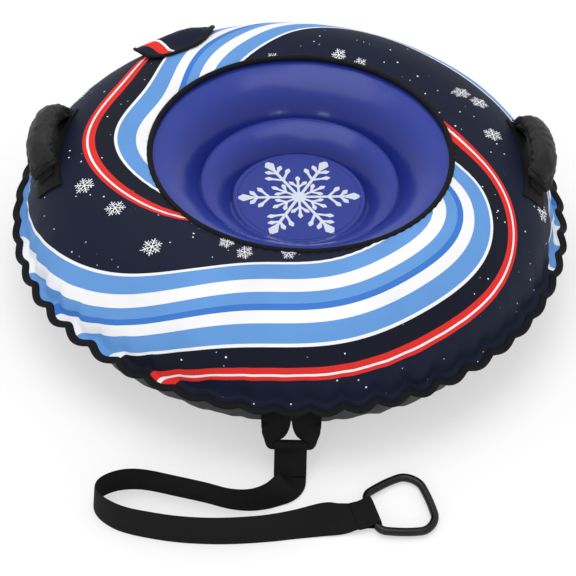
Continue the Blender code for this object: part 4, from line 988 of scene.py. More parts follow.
@dataclass
class Crystal:
    """A six-armed snow crystal as closed outlines, its arms laid out in shares of its reach."""

    reach: float
    bar: float = 0.052
    core: float = 0.13
    turn: float = math.radians(33.0)
    side_branches: tuple[Pair, ...] = ((0.66, 0.20), (0.47, 0.30))

    def stroke(self, start: Vector, end: Vector, width: float, head: float) -> list[Pair]:
        """A bar between two points.

        Args:
            start: Where it starts.
            end: The tip of its far end.
            width: The bar's width.
            head: The width of the kite that ends it.

        Returns:
            The bar's outline.
        """
        run = (end - start).normalized()
        side = Vector((-run.y, run.x))
        neck, wide = end - run * (head * 1.5), end - run * (head * 0.62)
        half, kite, tip = side * (width / 2), side * (head / 2), side * (width * 0.2)
        points = [start + half, start - half, neck - half, wide - kite, end - tip]
        points += [end + tip, wide + kite, neck + half]
        return [(p.x * self.reach, p.y * self.reach) for p in points]

    def outlines(self) -> list[list[Pair]]:
        """All outlines of the crystal, in metres."""
        corners = [turn + self.turn for turn in turns(6)]
        found = [[at(self.core * self.reach, corner)[:2] for corner in corners]]
        for corner in corners:
            out = Vector(at(1.0, corner + math.tau / 12)[:2])
            side = Vector((-out.y, out.x))
            found.append(self.stroke(out * (self.core * 0.7), out, self.bar, 0.17))
            for where, length in self.side_branches:
                for sign in (-1.0, 1.0):
                    start = out * where
                    end = start + (out * 0.64 + side * (sign * 0.77)) * length
                    found.append(self.stroke(start, end, self.bar * 0.85, 0.092))
            mid = Vector(at(1.0, corner)[:2])
            mid_side = Vector((-mid.y, mid.x))
            found.append(self.stroke(mid * (self.core * 0.8), mid * 0.50, self.bar * 0.8, 0.085))
            for sign in (-1.0, 1.0):
                start = mid * 0.23
                end = start + (mid * 0.70 + mid_side * (sign * 0.72)) * 0.20
                found.append(self.stroke(start, end, self.bar * 0.8, 0.080))
        return found


@dataclass
class Covers:
    """The printed top cover and the charcoal bottom cover, gathered into the scalloped seam."""

    sectors: int = 432
    top_cloth: float = 1.4 * MM
    base_cloth: float = 1.8 * MM
    skirt: tuple[Point, ...] = (
        (0.4280, 0.1125, 0.85),
        (0.4300, 0.1103, 0.95),
        (0.4340, 0.1097, 1.0),
        (0.4390, 0.1096, 1.0),
    )
    hem: tuple[Point, ...] = ((0.4390, 0.1064, 1.0), (0.4330, 0.1062, 1.0), (0.4295, 0.1045, 0.9))
    base_radii: tuple[float, ...] = (0.29, 0.25, 0.20, 0.15, 0.10, 0.05)
    reaches: Pair = (math.radians(84.0), math.radians(82.0))
    # Where the gathers and the ruffle start, as shares of the way to the seam, and how fast they grow
    top_gather: Pair = (0.50, 1.6)
    top_ruffle: Pair = (0.86, 1.5)
    base_gather: Pair = (0.38, 0.8)
    base_ruffle: Pair = (0.38, 3.0)
    scalloped: float = 1.7 * MM
    folded: float = 2.7 * MM
    uneven: float = 1.6 * MM
    puckered: float = 0.7 * MM
    creased: float = 1.6 * MM
    bulge: float = 6.0 * MM
    top_cut: Pair = (0.53, 0.235)
    base_cut: Pair = (0.51, 0.50)

    def gather(self, turn: float, share: float) -> float:
        """How far the cloth stands out at a turn, share 0 far from the seam and 1 at it."""
        if share <= 0.0:
            return 0.0
        wander = noise.noise(Vector(at(5.0, turn, 1.7)))
        long_fold = noise.noise(Vector(at(24.0, turn, share * 0.8)))
        wave = TUBE.scallop(turn + 0.012 * wander * (1.0 - share))
        return (self.scalloped * wave + self.folded * long_fold) * share

    def swell(self, place: Point) -> float:
        """The slow unevenness of the stretched cloth."""
        return self.uneven * noise.noise(Vector(place) * 9.0)

    def grown(self, share: float, growth: Pair) -> float:
        """How far a gather has grown at a share of the way to the seam: 0 up to its start, 1 at the seam."""
        start, power = growth
        return max(0.0, (share - start) / (1.0 - start)) ** power

    def seam_place(self, turn: float, radius: float, height: float, share: float) -> Point:
        """A place by the seam moved with its scallops and ruffle."""
        wave = TUBE.scallop(turn) * share
        return at(radius + TUBE.scallop_depth * wave, turn, height - TUBE.ruffle * wave)

    def top(self) -> None:
        """The top cover, from under the opening's tape to inside the seam's tape."""
        rows = []
        for i in range(9):
            share = i / 9
            row = []
            for turn in turns(self.sectors):
                x, y, z = place = at(TUBE.inner(share)[0], turn, TUBE.inner(share)[1])
                pucker = math.cos(96 * turn + 3 * noise.noise(Vector((turn, 0, 0))))
                rise = self.puckered * (1.0 - share) ** 2 * pucker + self.swell(place) * share
                row.append((x, y, z + rise))
            rows.append(row)
        for share in (i / 46 for i in range(47)):
            angle = self.reaches[0] * share
            gathered, ruffled = self.grown(share, self.top_gather), self.grown(share, self.top_ruffle)
            r, z = TUBE.upper(angle)
            row = []
            for turn in turns(self.sectors):
                lift = self.gather(turn, gathered) + self.swell(at(r, turn, z))
                row.append(self.seam_place(turn, *TUBE.upper(angle, lift), 0.7 * ruffled))
            rows.append(row)
        rows += [[self.seam_place(turn, *spot) for turn in turns(self.sectors)] for spot in self.skirt]
        mesh = VALVE.open_hatch(grid_mesh("top_cover_mesh", rows, closed=True))
        mesh = smooth(walled(facing(mesh), self.top_cloth, -1.0))
        made = piece("printed_top_cover", mesh, FINISH.cloth, ["top_cover"])

    def bottom(self) -> None:
        """The bottom cover, creased below the seam and flat where it lies on the snow."""
        rows = [[self.seam_place(turn, *spot) for turn in turns(self.sectors)] for spot in self.hem]
        steps = 34
        for i in range(steps + 1):
            share = 1.0 - i / steps
            gathered, ruffled = self.grown(share, self.base_gather), self.grown(share, self.base_ruffle)
            creased = self.creased * math.sin(math.pi * share)
            bulge = self.bulge * math.sin(math.pi * min(1.0, (1.0 - share) * 1.5)) ** 2
            row = []
            for turn in turns(self.sectors):
                crease = creased * noise.noise(Vector(at(30.0, turn, i * 0.11))) - 2 * GAP
                lift = min(1.25 * self.gather(turn + 0.01, gathered) + crease, 4.0 * MM) + bulge
                r, z = TUBE.lower(self.reaches[1] * share, lift)
                row.append(self.seam_place(turn, r, max(z, 0.0), 0.8 * ruffled))
            rows.append(row)
        rows += [round_about(r, 0.0, self.sectors) for r in self.base_radii]
        mesh = grid_mesh("bottom_cover_mesh", rows, closed=True)
        mesh = facing(mesh, up=False, cap=slice(-self.sectors, None))
        mesh = smooth(walled(mesh, self.base_cloth, -1.0))
        made = piece("charcoal_bottom_cover", mesh, FINISH.slide, ["bottom_cover"])

    def build(self) -> None:
        """Builds both covers."""
        self.top()
        self.bottom()


@dataclass
class SeamTape(NodeTree):
    """The tape round the seam: a circle pushed into scallops and swept with the tape's section, by a tree."""

    name: str = "seam_tape"
    inputs: dict[str, float] = field(
        default_factory=lambda: {
            "Radius": TUBE.tape_centre,
            "Height": TUBE.seam_height,
            "Scallops": float(TUBE.scallops),
            "Depth": TUBE.scallop_depth,
            "Ruffle": TUBE.ruffle,
            "Width": 12.0 * MM,
            "Thickness": 6.2 * MM,
        }
    )
    points: int = 1080
    corner: float = 2.4 * MM
    stitch_inset: float = 3.0 * MM

    def tree(self) -> Tree:
        """The tree. Its wave is that of TubeSizes.scallop."""
        tree, given, end = self.new_tree()
        circle = add_node(tree, CIRCLE, {"Resolution": self.points, "Radius": given["Radius"]})
        place = add_node(tree, "GeometryNodeInputPosition")
        x, y, _ = add_node(tree, SEPARATE, {0: place}).outputs
        turn = add_node(tree, MATH, {0: y, 1: x}, operation="ARCTAN2")
        phase = add_node(tree, MATH, {0: turn, 1: given["Scallops"]}, operation="MULTIPLY")
        half = add_node(tree, MATH, {0: phase, 1: 0.5}, operation="MULTIPLY")
        sine = add_node(tree, MATH, {0: half}, operation="SINE")
        square = add_node(tree, MATH, {0: sine, 1: sine, 2: TUBE.cusp}, operation="MULTIPLY_ADD")
        root = add_node(tree, MATH, {0: square}, operation="SQRT")
        wave = add_node(tree, MATH, {0: root, 1: 2.0, 2: -1.0}, operation="MULTIPLY_ADD")
        level, sway, rate, shift = TUBE.uneven
        slow = add_node(tree, MATH, {0: turn, 1: rate, 2: shift}, operation="MULTIPLY_ADD")
        slow = add_node(tree, MATH, {0: slow}, operation="SINE")
        slow = add_node(tree, MATH, {0: slow, 1: sway, 2: level}, operation="MULTIPLY_ADD")
        wave = add_node(tree, MATH, {0: wave, 1: slow}, operation="MULTIPLY")
        depth = add_node(tree, MATH, {0: wave, 1: given["Depth"]}, operation="MULTIPLY")
        share = add_node(tree, MATH, {0: depth, 1: given["Radius"]}, operation="DIVIDE")
        out = add_node(tree, VECTOR_MATH, {0: place, "Scale": share}, operation="SCALE")
        drop = add_node(tree, MATH, {0: wave, 1: given["Ruffle"]}, operation="MULTIPLY")
        height = add_node(tree, MATH, {0: given["Height"], 1: drop}, operation="SUBTRACT")
        rise = add_node(tree, COMBINE, {2: height})
        move = add_node(tree, VECTOR_MATH, {0: out, 1: rise}, operation="ADD")
        waved = add_node(tree, SET_POSITION, {"Geometry": circle, "Offset": move})
        flat = add_node(tree, "GeometryNodeSetCurveNormal", {"Curve": waved}, mode="Z_UP")
        sizes = {"Width": given["Width"], "Height": given["Thickness"]}
        section = add_node(tree, "GeometryNodeCurvePrimitiveQuadrilateral", sizes)
        fillet = {"Curve": section, "Radius": self.corner, "Count": 3}
        soft = add_node(tree, "GeometryNodeFilletCurve", fillet, mode="POLY")
        self.close(tree, end, add_node(tree, SWEEP, {"Curve": flat, "Profile Curve": soft}), FINISH.tape)
        return tree

    def build(self) -> None:
        """Builds the tape and its two rows of stitches."""
        mesh = self.run(self.tree(), bpy.data.meshes.new("seam_tape_base"))
        piece("scalloped_seam_tape", outward(mesh), FINISH.tape, ["seam_binding"])
        radius = TUBE.tape_centre - self.inputs["Width"] / 2 + self.stitch_inset
        paths = []
        for side in (-self.inputs["Thickness"] / 2, self.inputs["Thickness"] / 2):
            path = []
            for turn in turns(self.points):
                wave = TUBE.scallop(turn)
                height = TUBE.seam_height - TUBE.ruffle * wave + side
                path.append(Vector(at(radius + TUBE.scallop_depth * wave, turn, height)))
            paths.append((path, True))
        stitches("seam_tape_stitches", paths)


@dataclass
class RimTape(NodeTree):
    """The tape round the seat opening, swept round a circle that wavers a little with the elastic in it."""

    name: str = "rim_tape"
    inputs: dict[str, float] = field(
        default_factory=lambda: {"Radius": 0.2444, "Height": 0.2347, "Tape": 4.9 * MM, "Waver": 0.5 * MM}
    )
    points: int = 720
    elastic: Pair = (1.5 * MM, 1.2 * MM)
    stitch_place: Pair = (3.3 * MM, 3.2 * MM)

    def build(self) -> None:
        """Builds the tape, the elastic in it and the row of stitches behind it."""
        tree, given, end = self.new_tree()
        circle = add_node(tree, CIRCLE, {"Resolution": self.points, "Radius": given["Radius"]})
        uneven = add_node(tree, NOISE, {"Scale": 26.0, "Detail": 1.0})
        halves = {0: uneven.outputs["Color"], 1: (0.5, 0.5, 0.5)}
        centred = add_node(tree, VECTOR_MATH, halves, operation="SUBTRACT")
        waver = add_node(tree, VECTOR_MATH, {0: centred, "Scale": given["Waver"]}, operation="SCALE")
        rise = add_node(tree, COMBINE, {2: given["Height"]})
        move = add_node(tree, VECTOR_MATH, {0: waver, 1: rise}, operation="ADD")
        waved = add_node(tree, SET_POSITION, {"Geometry": circle, "Offset": move})
        section = add_node(tree, CIRCLE, {"Resolution": 16, "Radius": given["Tape"]})
        self.close(tree, end, add_node(tree, SWEEP, {"Curve": waved, "Profile Curve": section}), FINISH.tape)
        mesh = self.run(tree, bpy.data.meshes.new("rim_tape_base"))
        piece("seat_opening_tape", outward(mesh), FINISH.tape, ["rim_binding"])
        radius, height = self.inputs["Radius"], self.inputs["Height"]
        half_width, half_depth = self.elastic
        rows = [
            round_about(radius + half_width * math.cos(angle), height + half_depth * math.sin(angle), 180)
            for angle in turns(8)
        ]
        piece("opening_elastic", ring_mesh("opening_elastic_mesh", rows), FINISH.elastic, ["rim_elastic"])
        behind, above = self.stitch_place
        path = [Vector(spot) for spot in round_about(radius + behind, height + above, self.points)]
        stitches("seat_opening_stitches", [(path, True)])


def runs(places: Sequence[Vector]) -> list[Vector]:
    """The direction of a path at each of its places."""
    last = len(places) - 1
    return [(places[min(i + 1, last)] - places[max(i - 1, 0)]).normalized() for i in range(last + 1)]


def smooth_rows(rows: Sequence[Sequence[float]], steps: int) -> list[tuple[float, ...]]:
    """Rows of numbers on one smooth curve through the given rows, so many steps between two of them."""
    last = len(rows) - 1
    out: list[tuple[float, ...]] = []
    for i in range(last):
        four = list(zip(rows[max(i - 1, 0)], rows[i], rows[i + 1], rows[min(i + 2, last)]))
        for t in (k / steps for k in range(steps)):
            row = []
            for p, q, r, s in four:
                bend = (2 * p - 5 * q + 4 * r - s) * t**2 + (3 * q - p - 3 * r + s) * t**3
                row.append(0.5 * (2 * q + (r - p) * t + bend))
            out.append(tuple(row))
    return [*out, tuple(rows[last])]


def weave_map(mesh: Mesh, marks: Sequence[Sequence[Pair]]) -> Mesh:
    """Gives a grid mesh its UV map: for each point, the metres across the webbing and along it."""
    layer = mesh.uv_layers.new(name="weave")
    flat = [mark for row in marks for mark in row]
    for loop in mesh.loops:
        layer.data[loop.index].uv = flat[loop.vertex_index]
    return mesh


def swept(name: str, stations: Sequence[Station], section: Callable[[float, float], Sequence[Point]]) -> Mesh:
    """Webbing swept through stations.

    Args:
        name: The mesh's name.
        stations: Position, width and thickness directions, half width and half thickness.
        section: Gives, from half the width and half the thickness, each point's place across and in the
            thickness and its mark across the weave.

    Returns:
        A closed mesh with a weave map in metres.
    """
    rings, marks = [], []
    run = 0.0
    before = stations[0][0]
    for place, wide, deep, half_width, half_depth in stations:
        run += (place - before).length
        before = place
        points = section(half_width, half_depth)
        rings.append([place + wide * x + deep * y for x, y, _ in points])
        marks.append([(mark, run) for *_, mark in points])
    mesh = weave_map(grid_mesh(name, rings, closed=True), marks)
    return outward(mesh, cap=len(rings[0]))


def webbing_mesh(name: str, stations: Sequence[Station], across: int = 10) -> Mesh:
    """Webbing with rounded selvedges swept through stations, with so many steps across each face."""

    def section(half_width: float, half_depth: float) -> list[Point]:
        """The webbing's section, full but for its rounded selvedges."""
        points = []
        for sign in (1.0, -1.0):
            for j in range(across + 1):
                t = sign * (1.0 - 2.0 * j / across)
                edge = max(0.35, math.sqrt(max(0.0, 1.0 - abs(t) ** 8)))
                points.append((t * half_width, sign * half_depth * edge, t * half_width))
        return points

    return smooth(swept(name, stations, section), 60.0)


@dataclass
class Handle:
    """One padded handle: base strip, strap, foam and sleeve, on one side of the tube."""

    side: Side
    section: float = math.radians(45.0)
    turn: float = math.radians(6.7)
    base_half: float = 0.096
    base_shift: float = 0.027
    arch_shift: float = 0.012
    base_width: float = 0.050
    web: float = 1.8 * MM
    half_span: float = 0.065
    rise: float = 0.034
    lean: float = 0.014
    half_width: float = 0.0245
    half_depth: float = 0.0165
    end_half_depth: float = 3.4 * MM
    strap_half_width: float = 0.0150
    strap_half_depth: float = 1.1 * MM
    stitch_inset: float = 4.0 * MM
    sewn_share: float = 0.965
    box_lift: float = 2.8 * MM
    fold: float = 1.3 * MM
    pinch: float = 6.4 * MM
    soft: float = 1.6 * MM
    box: tuple[Pair, ...] = ((0.074, -0.012), (0.074, 0.012), (0.090, 0.012), (0.090, -0.012))
    path_shares: tuple[Point, ...] = (
        (1.30, 0.0, 0.0),
        (1.06, 0.0, 0.0),
        (1.00, 0.05, 0.08),
        (0.95, 0.18, 0.32),
        (0.88, 0.40, 0.66),
        (0.77, 0.64, 0.88),
        (0.60, 0.85, 0.98),
        (0.36, 0.96, 1.0),
        (0.12, 1.0, 1.0),
    )

    @property
    def name(self) -> str:
        """The side's name."""
        return self.side.name.lower()

    @property
    def middle(self) -> float:
        """The turn of the handle's middle about Z."""
        return self.turn if self.side is Side.RIGHT else math.pi - self.turn

    def base_point(self, along: float, down: float, lift: float) -> Vector:
        """A place on the base strip from its offsets along the ring and down the side."""
        section = self.section + down / (TUBE.cover_radius - TUBE.crest_radius)
        radius = TUBE.upper(section, lift)[0]
        forward = along - self.base_shift * self.side.value
        return on_cover(section, self.middle + forward / radius, lift)[0]

    def base(self) -> None:
        """The webbing strip sewn flat to the cover, with its stitches."""
        half = self.base_width / 2
        lengths = [self.base_half * (2 * i / 60 - 1) for i in range(61)]
        widths = [half * (2 * j / 12 - 1) for j in range(13)]
        rows = []
        for along in lengths:
            lifts = [GAP + GAP * math.cos(math.pi * abs(down) / half / 2) for down in widths]
            rows.append([self.base_point(along, down, lift) for down, lift in zip(widths, lifts)])
        mesh = grid_mesh(self.name + "_handle_base_mesh", rows)
        weave_map(mesh, [[(down, along) for down in widths] for along in lengths])
        mesh = smooth(walled(mesh, self.web, 1.0))
        piece(self.name + "_handle_base_webbing", mesh, FINISH.webbing, [self.name + "_handle_base"])
        lift = GAP + self.web + 0.4 * MM
        inner = half - self.stitch_inset
        paths = []
        for sign in (-1.0, 1.0):
            line = [self.base_point(along * self.sewn_share, sign * inner, lift) for along in lengths]
            paths.append((line, False))
            along = sign * self.base_half * self.sewn_share
            paths.append(([self.base_point(along, inner * (j / 6 - 1), lift) for j in range(13)], False))
            box = []
            for a, b in zip(self.box, self.box[1:] + self.box[:1]):
                for t in (k / 6 for k in range(6)):
                    u, v = a[0] + (b[0] - a[0]) * t, a[1] + (b[1] - a[1]) * t
                    box.append(self.base_point(sign * u, v, lift + self.box_lift))
            paths.append((box, True))
        stitches(self.name + "_handle_stitches", paths)

    def stations(self) -> list[tuple[Vector, Vector, Vector, float]]:
        """Places along the arch: position, width and depth directions, and the share of padding."""
        tab = 2 * GAP + self.web + self.strap_half_depth
        start = 2 * GAP + self.web + self.end_half_depth
        radius = TUBE.upper(self.section)[0]
        shares = [(-u, h, d) for u, h, d in self.path_shares] + list(reversed(self.path_shares))
        rough = [(u, start + (self.rise - start) * h, d) for u, h, d in shares]
        for end in (0, -1):
            rough[end] = (rough[end][0], tab, rough[end][2])
        places, frames = [], []
        for u, lift, share in smooth_rows(rough, 6):
            turn = self.middle + (u * self.half_span - self.side.value * self.arch_shift) / radius
            place, _, down, _ = on_cover(self.section, turn, lift)
            leaned = max(0.0, (lift - start) / (self.rise - start))
            places.append(place - down * (self.lean * leaned))
            frames.append((down, min(1.0, max(0.0, share))))
        return [
            (place, down, down.cross(run).normalized(), share)
            for place, run, (down, share) in zip(places, runs(places), frames)
        ]

    def grip(self) -> None:
        """The padded sleeve, drawn in at its sewn ends and creased on its inner side."""
        count = 40
        rows = []
        for k, (place, wide, deep, share) in enumerate(self.stations()[6:-6]):
            half_depth = self.end_half_depth + (self.half_depth - self.end_half_depth) * share
            faces_out = deep.dot(place - Vector((0, 0, place.z))) > 0
            row = []
            for j in range(count):
                angle = math.tau * (j + 0.5) / count
                c, s = math.cos(angle), math.sin(angle)
                x, y = rounded(angle, 0.55 + 0.35 * share)
                spot = Vector((k * 0.24, 2.2 * c, 2.2 * s + 9.0 * self.side.value))
                inner = max(0.0, -s if faces_out else s)
                wander = noise.noise(spot)
                moved = self.fold * math.sin(k * 1.05 + 3.0 * wander) * inner * share
                moved += self.pinch * (1.0 - share) * share * math.sin(5.0 * angle + 2.0 * wander)
                moved += self.soft * noise.noise(spot * 1.3) * share
                grow = 1.0 + moved / max(half_depth, 4.0 * MM)
                row.append(place + wide * (x * self.half_width * grow) + deep * (y * half_depth * grow))
            rows.append(row)
        mesh = outward(grid_mesh(self.name + "_grip_mesh", rows, closed=True), cap=count)
        covered = [self.name + "_handle_sleeve", self.name + "_handle_foam"]
        made = piece(self.name + "_padded_grip", smooth(mesh, 60.0), FINISH.grip, covered)

    def strap(self) -> None:
        """The strap inside the sleeve, which shows as a tab at each end."""
        sizes = (self.strap_half_width, self.strap_half_depth)
        stations = [(*station[:3], *sizes) for station in self.stations()]

        def section(half_width: float, half_depth: float) -> list[Point]:
            """A plain rectangle."""
            signs = ((-1, -1), (1, -1), (1, 1), (-1, 1))
            return [(x * half_width, y * half_depth, x * half_width) for x, y in signs]

        mesh = smooth(swept(self.name + "_strap_mesh", stations, section), 40.0)
        piece(self.name + "_handle_strap_webbing", mesh, FINISH.webbing, [self.name + "_handle_strap"])

    def build(self) -> None:
        """Builds the handle."""
        self.base()
        self.strap()
        self.grip()


@dataclass
class Tow:
    """The tow gear: patch, loop, strap with its sewn ends, and ring."""

    web: float = 2.2 * MM
    leg_half_width: float = 0.0225
    leg_offset: float = 0.0228
    top: Pair = (-0.4269, 0.0830)
    bottom: Pair = (-0.4590, 0.0440)
    bundle: Pair = (6.2 * MM, 4.2 * MM)
    strap_half_width: float = 0.0245
    tuck: float = 0.012
    rest: float = 0.4 * MM
    fold_slope: float = math.radians(50.0)
    fold_length: float = 0.046
    ring_fold_length: float = 0.027
    ring_place: Pair = (0.1210, -0.5540)
    ring_heading: float = math.radians(17.0)
    ring_slope: float = math.radians(1.3)
    ring_bar: float = 6.0 * MM
    ring_depth: float = 0.086
    ring_halves: Pair = (0.0335, 0.0530)
    ring_corners: Pair = (0.013, 0.022)
    ring_bow: float = 4.5 * MM
    patch_half: float = 0.048
    patch_web: float = 1.8 * MM
    exit: Point = (0.0, -0.475, 0.0270)
    leg_shares: tuple[tuple[float, float, float, float], ...] = (
        (1.00, 0.00, 0.00, 0.00),
        (1.00, 0.20, 0.17, 0.00),
        (1.04, 0.42, 0.36, 0.03),
        (1.14, 0.61, 0.52, 0.12),
        (1.28, 0.77, 0.68, 0.42),
        (1.40, 0.93, 0.88, 0.95),
        (1.28, 1.00, 0.985, 1.00),
        (1.05, 1.00, 1.00, 1.00),
        (0.36, 1.00, 1.00, 1.00),
    )
    # The strap's way over the snow: x and y in seam radii, the lean in degrees and the rise in seam radii
    route_shares: tuple[tuple[float, float, float, float], ...] = (
        (0.0000, -1.0918, 7.0, 0.0080),
        (-0.0012, -1.1140, 19.0, 0.0020),
        (-0.0130, -1.1420, 40.0, 0.0),
        (-0.0400, -1.1720, 62.0, 0.0),
        (-0.0800, -1.2010, 78.0, 0.0),
        (-0.1350, -1.2170, 87.0, 0.0),
        (-0.2000, -1.2130, 90.0, 0.0),
        (-0.2750, -1.1910, 90.0, 0.0),
        (-0.3750, -1.1660, 90.0, 0.0),
        (-0.4700, -1.1440, 90.0, 0.0),
        (-0.5330, -1.1410, 90.0, 0.0),
        (-0.5850, -1.1550, 91.0, 0.0),
        (-0.6220, -1.1830, 92.0, 0.0),
        (-0.6330, -1.2180, 95.0, 0.0),
        (-0.6130, -1.2560, 99.0, 0.0),
        (-0.5720, -1.2880, 102.0, 0.0),
        (-0.5250, -1.3080, 103.0, 0.0),
        (-0.4550, -1.3240, 104.0, 0.0),
        (-0.3640, -1.3380, 104.0, 0.0),
        (-0.2640, -1.3430, 104.0, 0.0),
        (-0.1690, -1.3390, 105.0, 0.0),
        (-0.0690, -1.3270, 107.0, 0.0),
        (0.0290, -1.3050, 115.0, 0.0),
        (0.1100, -1.2780, 136.0, 0.0),
        (0.1650, -1.2590, 163.0, 0.0020),
        (0.2062, -1.2487, 180.0, 0.0160),
    )

    def strap_stations(self) -> list[Station]:
        """Places along the strap, as webbing_mesh takes them, its ends tucked into the folds."""
        places, leans = [], []
        for x, y, degrees, rise in smooth_rows(self.route_shares, 10):
            lean = math.radians(degrees)
            on_edge, flat = abs(math.sin(lean)), abs(math.cos(lean))
            height = self.strap_half_width * on_edge + self.web / 2 * flat + self.rest
            places.append(Vector((x, y, rise)) * TUBE.seam_radius + UP * height)
            leans.append(lean)
        made = []
        for place, run, lean in zip(places, runs(places), leans):
            right = run.cross(UP).normalized()
            wide = right * math.cos(lean) + right.cross(run) * math.sin(lean)
            made.append((place, wide, run.cross(wide), self.strap_half_width, self.web / 2))
        head = places[0] + (places[0] - places[1]).normalized() * self.tuck
        tail = places[-1] + (places[-1] - places[-2]).normalized() * self.tuck
        return [(head, *made[0][1:]), *made, (tail, *made[-1][1:])]

    def fold(self, name: str, node: str, hole: float, length: float, place: Matrix) -> Object:
        """A sewn end of the strap, folded round what it holds: a ply out, round and back.

        Args:
            name: The piece's name.
            node: The CAD node that it stands for.
            hole: The radius that it leaves free.
            length: How far its plies reach.
            place: Its frame, with X along the plies and Z across them.

        Returns:
            The object.
        """
        neck = hole * 2
        spread = ((length, 0.55), ((neck + length) / 2, 0.60), (neck, 0.85))
        lower = [(x, -self.web * share) for x, share in spread]
        bend = [at(hole + self.web / 2, -math.pi / 2 - math.pi * i / 12)[:2] for i in range(13)]
        path = lower + bend + [(x, -y) for x, y in reversed(lower)]
        spots = [Vector((x, y, 0.0)) for x, y in smooth_rows(path, 4)]
        turned = place.to_3x3()
        sizes = (self.strap_half_width, self.web * 0.48)
        stations = [
            (place @ spot, turned @ UP, turned @ run.cross(UP), *sizes)
            for spot, run in zip(spots, runs(spots))
        ]
        return piece(name, webbing_mesh(name, stations), FINISH.webbing, [node])

    def fold_frames(self) -> tuple[Matrix, Matrix, Matrix]:
        """The frames of the fold at the loop, of the fold at the ring, and of the ring."""
        run = Vector((0.0, -math.cos(self.fold_slope), -math.sin(self.fold_slope)))
        tow = frame_at(Vector((0.0, *self.bottom)), run, Vector((1.0, 0.0, 0.0)))
        centre = Vector((*self.ring_place, self.ring_bar + self.web + GAP + self.rest))
        ahead = Vector(at(1.0, self.ring_heading))
        across = Vector(at(1.0, self.ring_heading + math.pi / 2))
        away = ahead * math.cos(self.ring_slope) - UP * math.sin(self.ring_slope)
        return tow, frame_at(centre, -ahead, across), frame_at(centre, away, away.cross(across))

    def fold_stitches(self, name: str, place: Matrix, length: float) -> Object:
        """Two rows of stitches across a fold, on both faces."""
        half = self.strap_half_width - 4.0 * MM
        face = self.web * 1.05 + 0.2 * MM
        paths = []
        for x in (length - 3.0 * MM, length - 8.0 * MM):
            for y in (-face, face):
                paths.append(([place @ Vector((x, y, half * (k / 12 - 1))) for k in range(25)], False))
        return stitches(name, paths)

    def strap(self) -> None:
        """The strap with its folds, stitches and ring."""
        tow, ring_end, _ = self.fold_frames()
        stations = self.strap_stations()
        mesh = webbing_mesh("tow_strap_webbing", stations, 12)
        made = piece("tow_strap_webbing", mesh, FINISH.webbing, ["tow_strap"])
        loop_hole, ring_hole = self.bundle[0] + 2 * GAP, self.ring_bar + GAP
        ends = [
            self.fold("strap_fold_at_loop", "strap_tow_end", loop_hole, self.fold_length, tow),
            self.fold("strap_fold_at_ring", "strap_ring_end", ring_hole, self.ring_fold_length, ring_end),
            self.fold_stitches("loop_fold_stitches", tow, self.fold_length),
            self.fold_stitches("ring_fold_stitches", ring_end, self.ring_fold_length),
            self.ring(),
        ]

    def ring(self) -> Object:
        """The ring: a bar of flattened round section bent into a rounded triangle."""
        near, far = self.ring_halves
        sides = ((0.0, -near), (self.ring_depth, -far), (self.ring_depth, far), (0.0, near))
        corners = [Vector((x, y, 0.0)) for x, y in sides]
        tight, wide = self.ring_corners
        path: list[Vector] = []
        for i, radius in enumerate((tight, wide, wide, tight)):
            corner = rounded_corner(corners[i - 1], corners[i], corners[(i + 1) % 4], radius, 12)
            path += (straight(path[-1], corner[0], 10) if path else []) + corner
        path += straight(path[-1], path[0], 8)
        for place in path:
            share = min(1.0, max(0.0, place.x / self.ring_depth))
            place.y += math.copysign(self.ring_bow * math.sin(math.pi * share), place.y)
            place.x += self.ring_bow * share * math.cos(math.pi / 2 * min(1.0, abs(place.y) / far))
        frame_ring = self.fold_frames()[2]
        rings = []
        for i, place in enumerate(path):
            side = (path[(i + 1) % len(path)] - path[i - 1]).normalized().cross(UP) * self.ring_bar
            row = []
            for angle in turns(20):
                x, z = rounded(angle, 0.85)
                row.append(frame_ring @ (place + side * x + UP * (z * self.ring_bar * 0.97)))
            rings.append(row)
        mesh = ring_mesh("tow_ring_mesh", rings)
        return piece("moulded_tow_ring", mesh, FINISH.ring, ["tow_ring"], Body.RING)

    def loop(self) -> None:
        """The loop of webbing that hangs below the seam, gathered where the strap goes round it."""
        right = []
        for x, y, z, gather in smooth_rows(self.leg_shares, 5):
            back = self.top[0] + (self.bottom[0] - self.top[0]) * y
            height = self.top[1] + (self.bottom[1] - self.top[1]) * z
            right.append((Vector((self.leg_offset * x, back, height)), min(1.0, max(0.0, gather))))
        both = right + [(Vector((-p.x, p.y, p.z)), gather) for p, gather in reversed(right)]
        front = Vector((0.0, -1.0, 0.0))
        stations = []
        for (place, gather), run in zip(both, runs([place for place, _ in both])):
            deep = (front - run * front.dot(run)).normalized()
            half_width = self.leg_half_width + (self.bundle[0] - self.leg_half_width) * gather
            half_depth = self.web / 2 + (self.bundle[1] - self.web / 2) * gather
            stations.append((place, run.cross(deep).normalized(), deep, half_width, half_depth))
        mesh = webbing_mesh("tow_loop_webbing", stations, 12)
        piece("tow_loop_webbing", mesh, FINISH.webbing, ["tow_loop"])

    def patch(self) -> None:
        """The patch that sews the loop to the bottom cover."""
        rows, marks = [], []
        for along in (self.patch_half * (i / 12 - 1) for i in range(25)):
            turn = -math.pi / 2 + along / TUBE.cover_radius
            row = []
            for j in range(9):
                r, z = TUBE.lower(math.pi / 2 * (0.86 - 0.30 * j / 8), GAP + 0.4 * MM)
                row.append(at(r, turn, z))
            rows.append(row)
            marks.append([(0.05 * j / 8, along) for j in range(9)])
        mesh = weave_map(grid_mesh("tow_patch_mesh", rows), marks)
        mesh = smooth(walled(mesh, self.patch_web, 1.0))
        piece("tow_patch_webbing", mesh, FINISH.webbing, ["tow_anchor_patch"])

    def build(self) -> None:
        """Builds the loop and its patch. The strap is built first, by main."""
        self.loop()
        self.patch()


